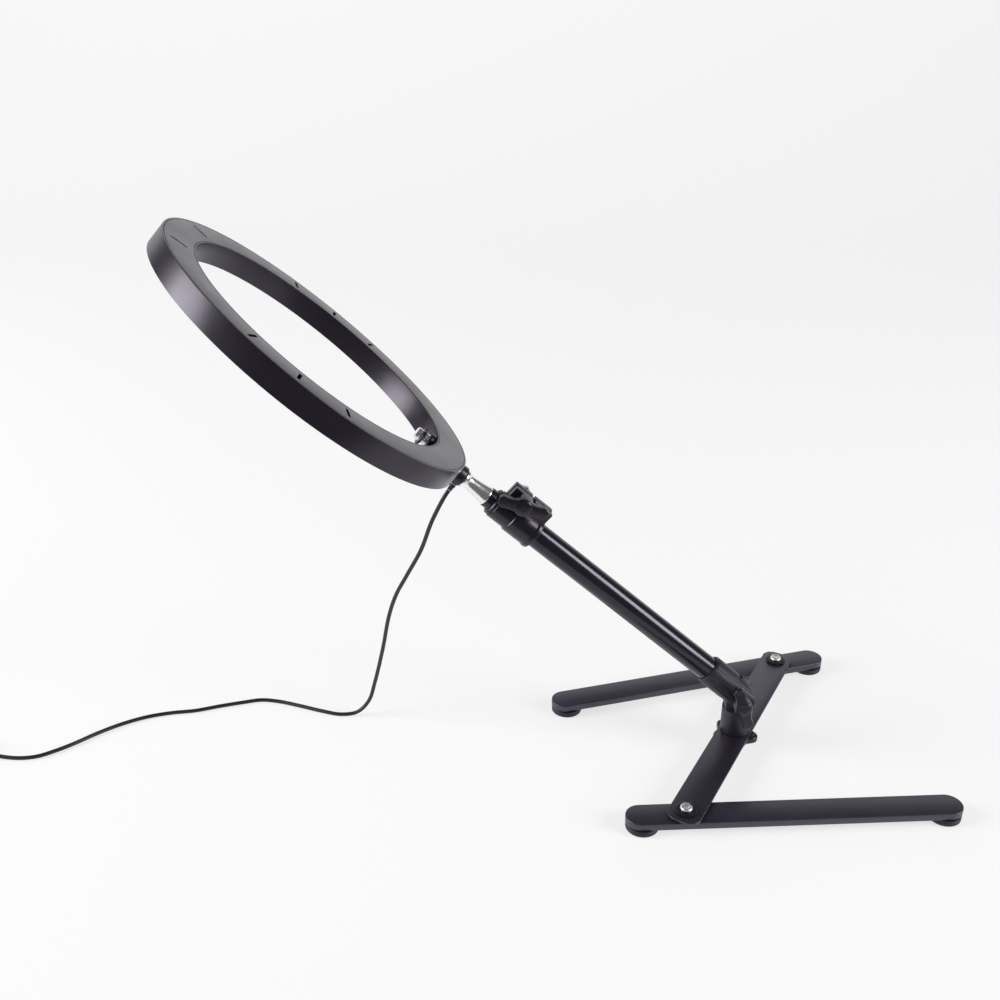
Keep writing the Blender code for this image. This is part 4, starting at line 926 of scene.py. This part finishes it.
def plug_tongue():
    """The plastic tongue inside the sleeve. It stands for no CAD node of its own."""
    (start, end), low, half = SLEEVE_X, SLEEVE_Z[0] + SLEEVE_WALL, SLEEVE_HALF - 0.0007
    tongue = box("plug_tongue", (start + 0.0014, end - 0.0008), (-half, half),
                 (low + 0.0001, low + 0.0018), PLUG, bevel=0.0001)
    return extra(tongue, "black_plastic", "post")


def lead_pieces():
    half = CONTROLLER_LONG / 2
    outline = rectangle(-half, half, -SHELL_HALF, SHELL_HALF, SHELL_CORNER, steps=8)
    controller_lower(outline)
    controller_upper(outline)
    button_caps()
    return [nodes["cord_tie"], plug_moulding(), plug_sleeve(), plug_tongue()]


# --- Floor, backdrop and light --------------------------------------------------------------------
PAPER_GREY = (0.32, 0.32, 0.322, 1)
PAPER_GLOW = 0.68
SKY_COLOUR, SKY_POWER = (0.92, 0.93, 0.96, 1), 0.15
BEHIND_COLOUR, BEHIND_POWER = (0.92, 0.92, 0.925, 1), 1.0


def lit_paper():
    """Grey paper with a glow of its own, so that it stays near white where little light falls."""
    made = bpy.data.materials.new("lit_paper")
    made.use_nodes = True
    inputs = made.node_tree.nodes["Principled BSDF"].inputs
    inputs["Base Color"].default_value = PAPER_GREY
    inputs["Roughness"].default_value = 0.9
    inputs["Specular IOR Level"].default_value = 0.1
    inputs["Emission Color"].default_value = (1.0, 1.0, 1.0, 1)
    inputs["Emission Strength"].default_value = PAPER_GLOW
    return made


def make_backdrop():
    """A white table top that runs up into a backdrop."""
    shape = bmesh.new()
    front, back, bend, high, half = -0.42, 1.7, 0.8, 1.9, 3.0
    section = [(front, 0.0), (back, 0.0)]
    section += [(back + bend * math.sin(math.radians(a)), bend - bend * math.cos(math.radians(a)))
                for a in range(6, 91, 6)]
    section.append((back + bend, high))
    rows = [[shape.verts.new((x, y, z)) for x in (-half, half)] for y, z in section]
    for low_row, high_row in zip(rows, rows[1:]):
        shape.faces.new((low_row[0], low_row[1], high_row[1], high_row[0]))
    mesh = bpy.data.meshes.new("backdrop")
    shape.to_mesh(mesh)
    shape.free()
    mesh.shade_smooth()
    mesh.materials.append(lit_paper())
    link("backdrop", mesh, Matrix.Identity(4))


def make_room():
    """A dim room that lights the object, which the camera sees as pale paper."""
    world = bpy.data.worlds.new("studio")
    world.use_nodes = True
    tree = world.node_tree
    sky = tree.nodes["Background"]
    sky.inputs["Color"].default_value = SKY_COLOUR
    sky.inputs["Strength"].default_value = SKY_POWER
    paper = tree.nodes.new("ShaderNodeBackground")
    paper.inputs["Color"].default_value = BEHIND_COLOUR
    paper.inputs["Strength"].default_value = BEHIND_POWER
    path = tree.nodes.new("ShaderNodeLightPath")
    mix = tree.nodes.new("ShaderNodeMixShader")
    tree.links.new(path.outputs["Is Camera Ray"], mix.inputs["Fac"])
    tree.links.new(sky.outputs["Background"], mix.inputs[1])
    tree.links.new(paper.outputs["Background"], mix.inputs[2])
    tree.links.new(mix.outputs["Shader"], tree.nodes["World Output"].inputs["Surface"])
    bpy.context.scene.world = world


def softbox(name, at, to, size, power):
    data = bpy.data.lights.new(name, "AREA")
    data.shape = "RECTANGLE"
    data.size, data.size_y = size
    data.energy = power
    lamp = link(name, data, Matrix.Identity(4))
    at, to = Vector(at), Vector(to)
    lamp.matrix_world = Matrix.LocRotScale(at, (to - at).to_track_quat("-Z", "Y"), None)
    lamp.visible_camera = False


# --- Everything put together ----------------------------------------------------------------------
make_camera()
for name, obj in nodes.items():
    obj.data.materials.clear()
    obj.data.materials.append(looks[slots[name]])
for obj in (cord_lead, cord_coil):
    obj.data.materials.append(looks["lead"])

base_pieces()
hinge_pieces()
clamp_pieces()
ring_pieces()
on_coil = lead_pieces()
on_lead = [nodes["controller_base"], nodes["controller_cover"]]
on_lead += [nodes[f"button_{name}"] for name in BUTTONS]

make_backdrop()
make_room()
softbox("softbox_right", at=(2.0, -0.78, 1.0), to=(0.05, 0.0, 0.15), size=(0.9, 1.2), power=38)
softbox("softbox_left", at=(-2.4, -0.30, 1.15), to=(-0.3, 0.0, 0.3), size=(1.2, 1.6), power=64)
bpy.context.scene.view_settings.view_transform = "Standard"
bpy.context.scene.view_settings.look = "None"
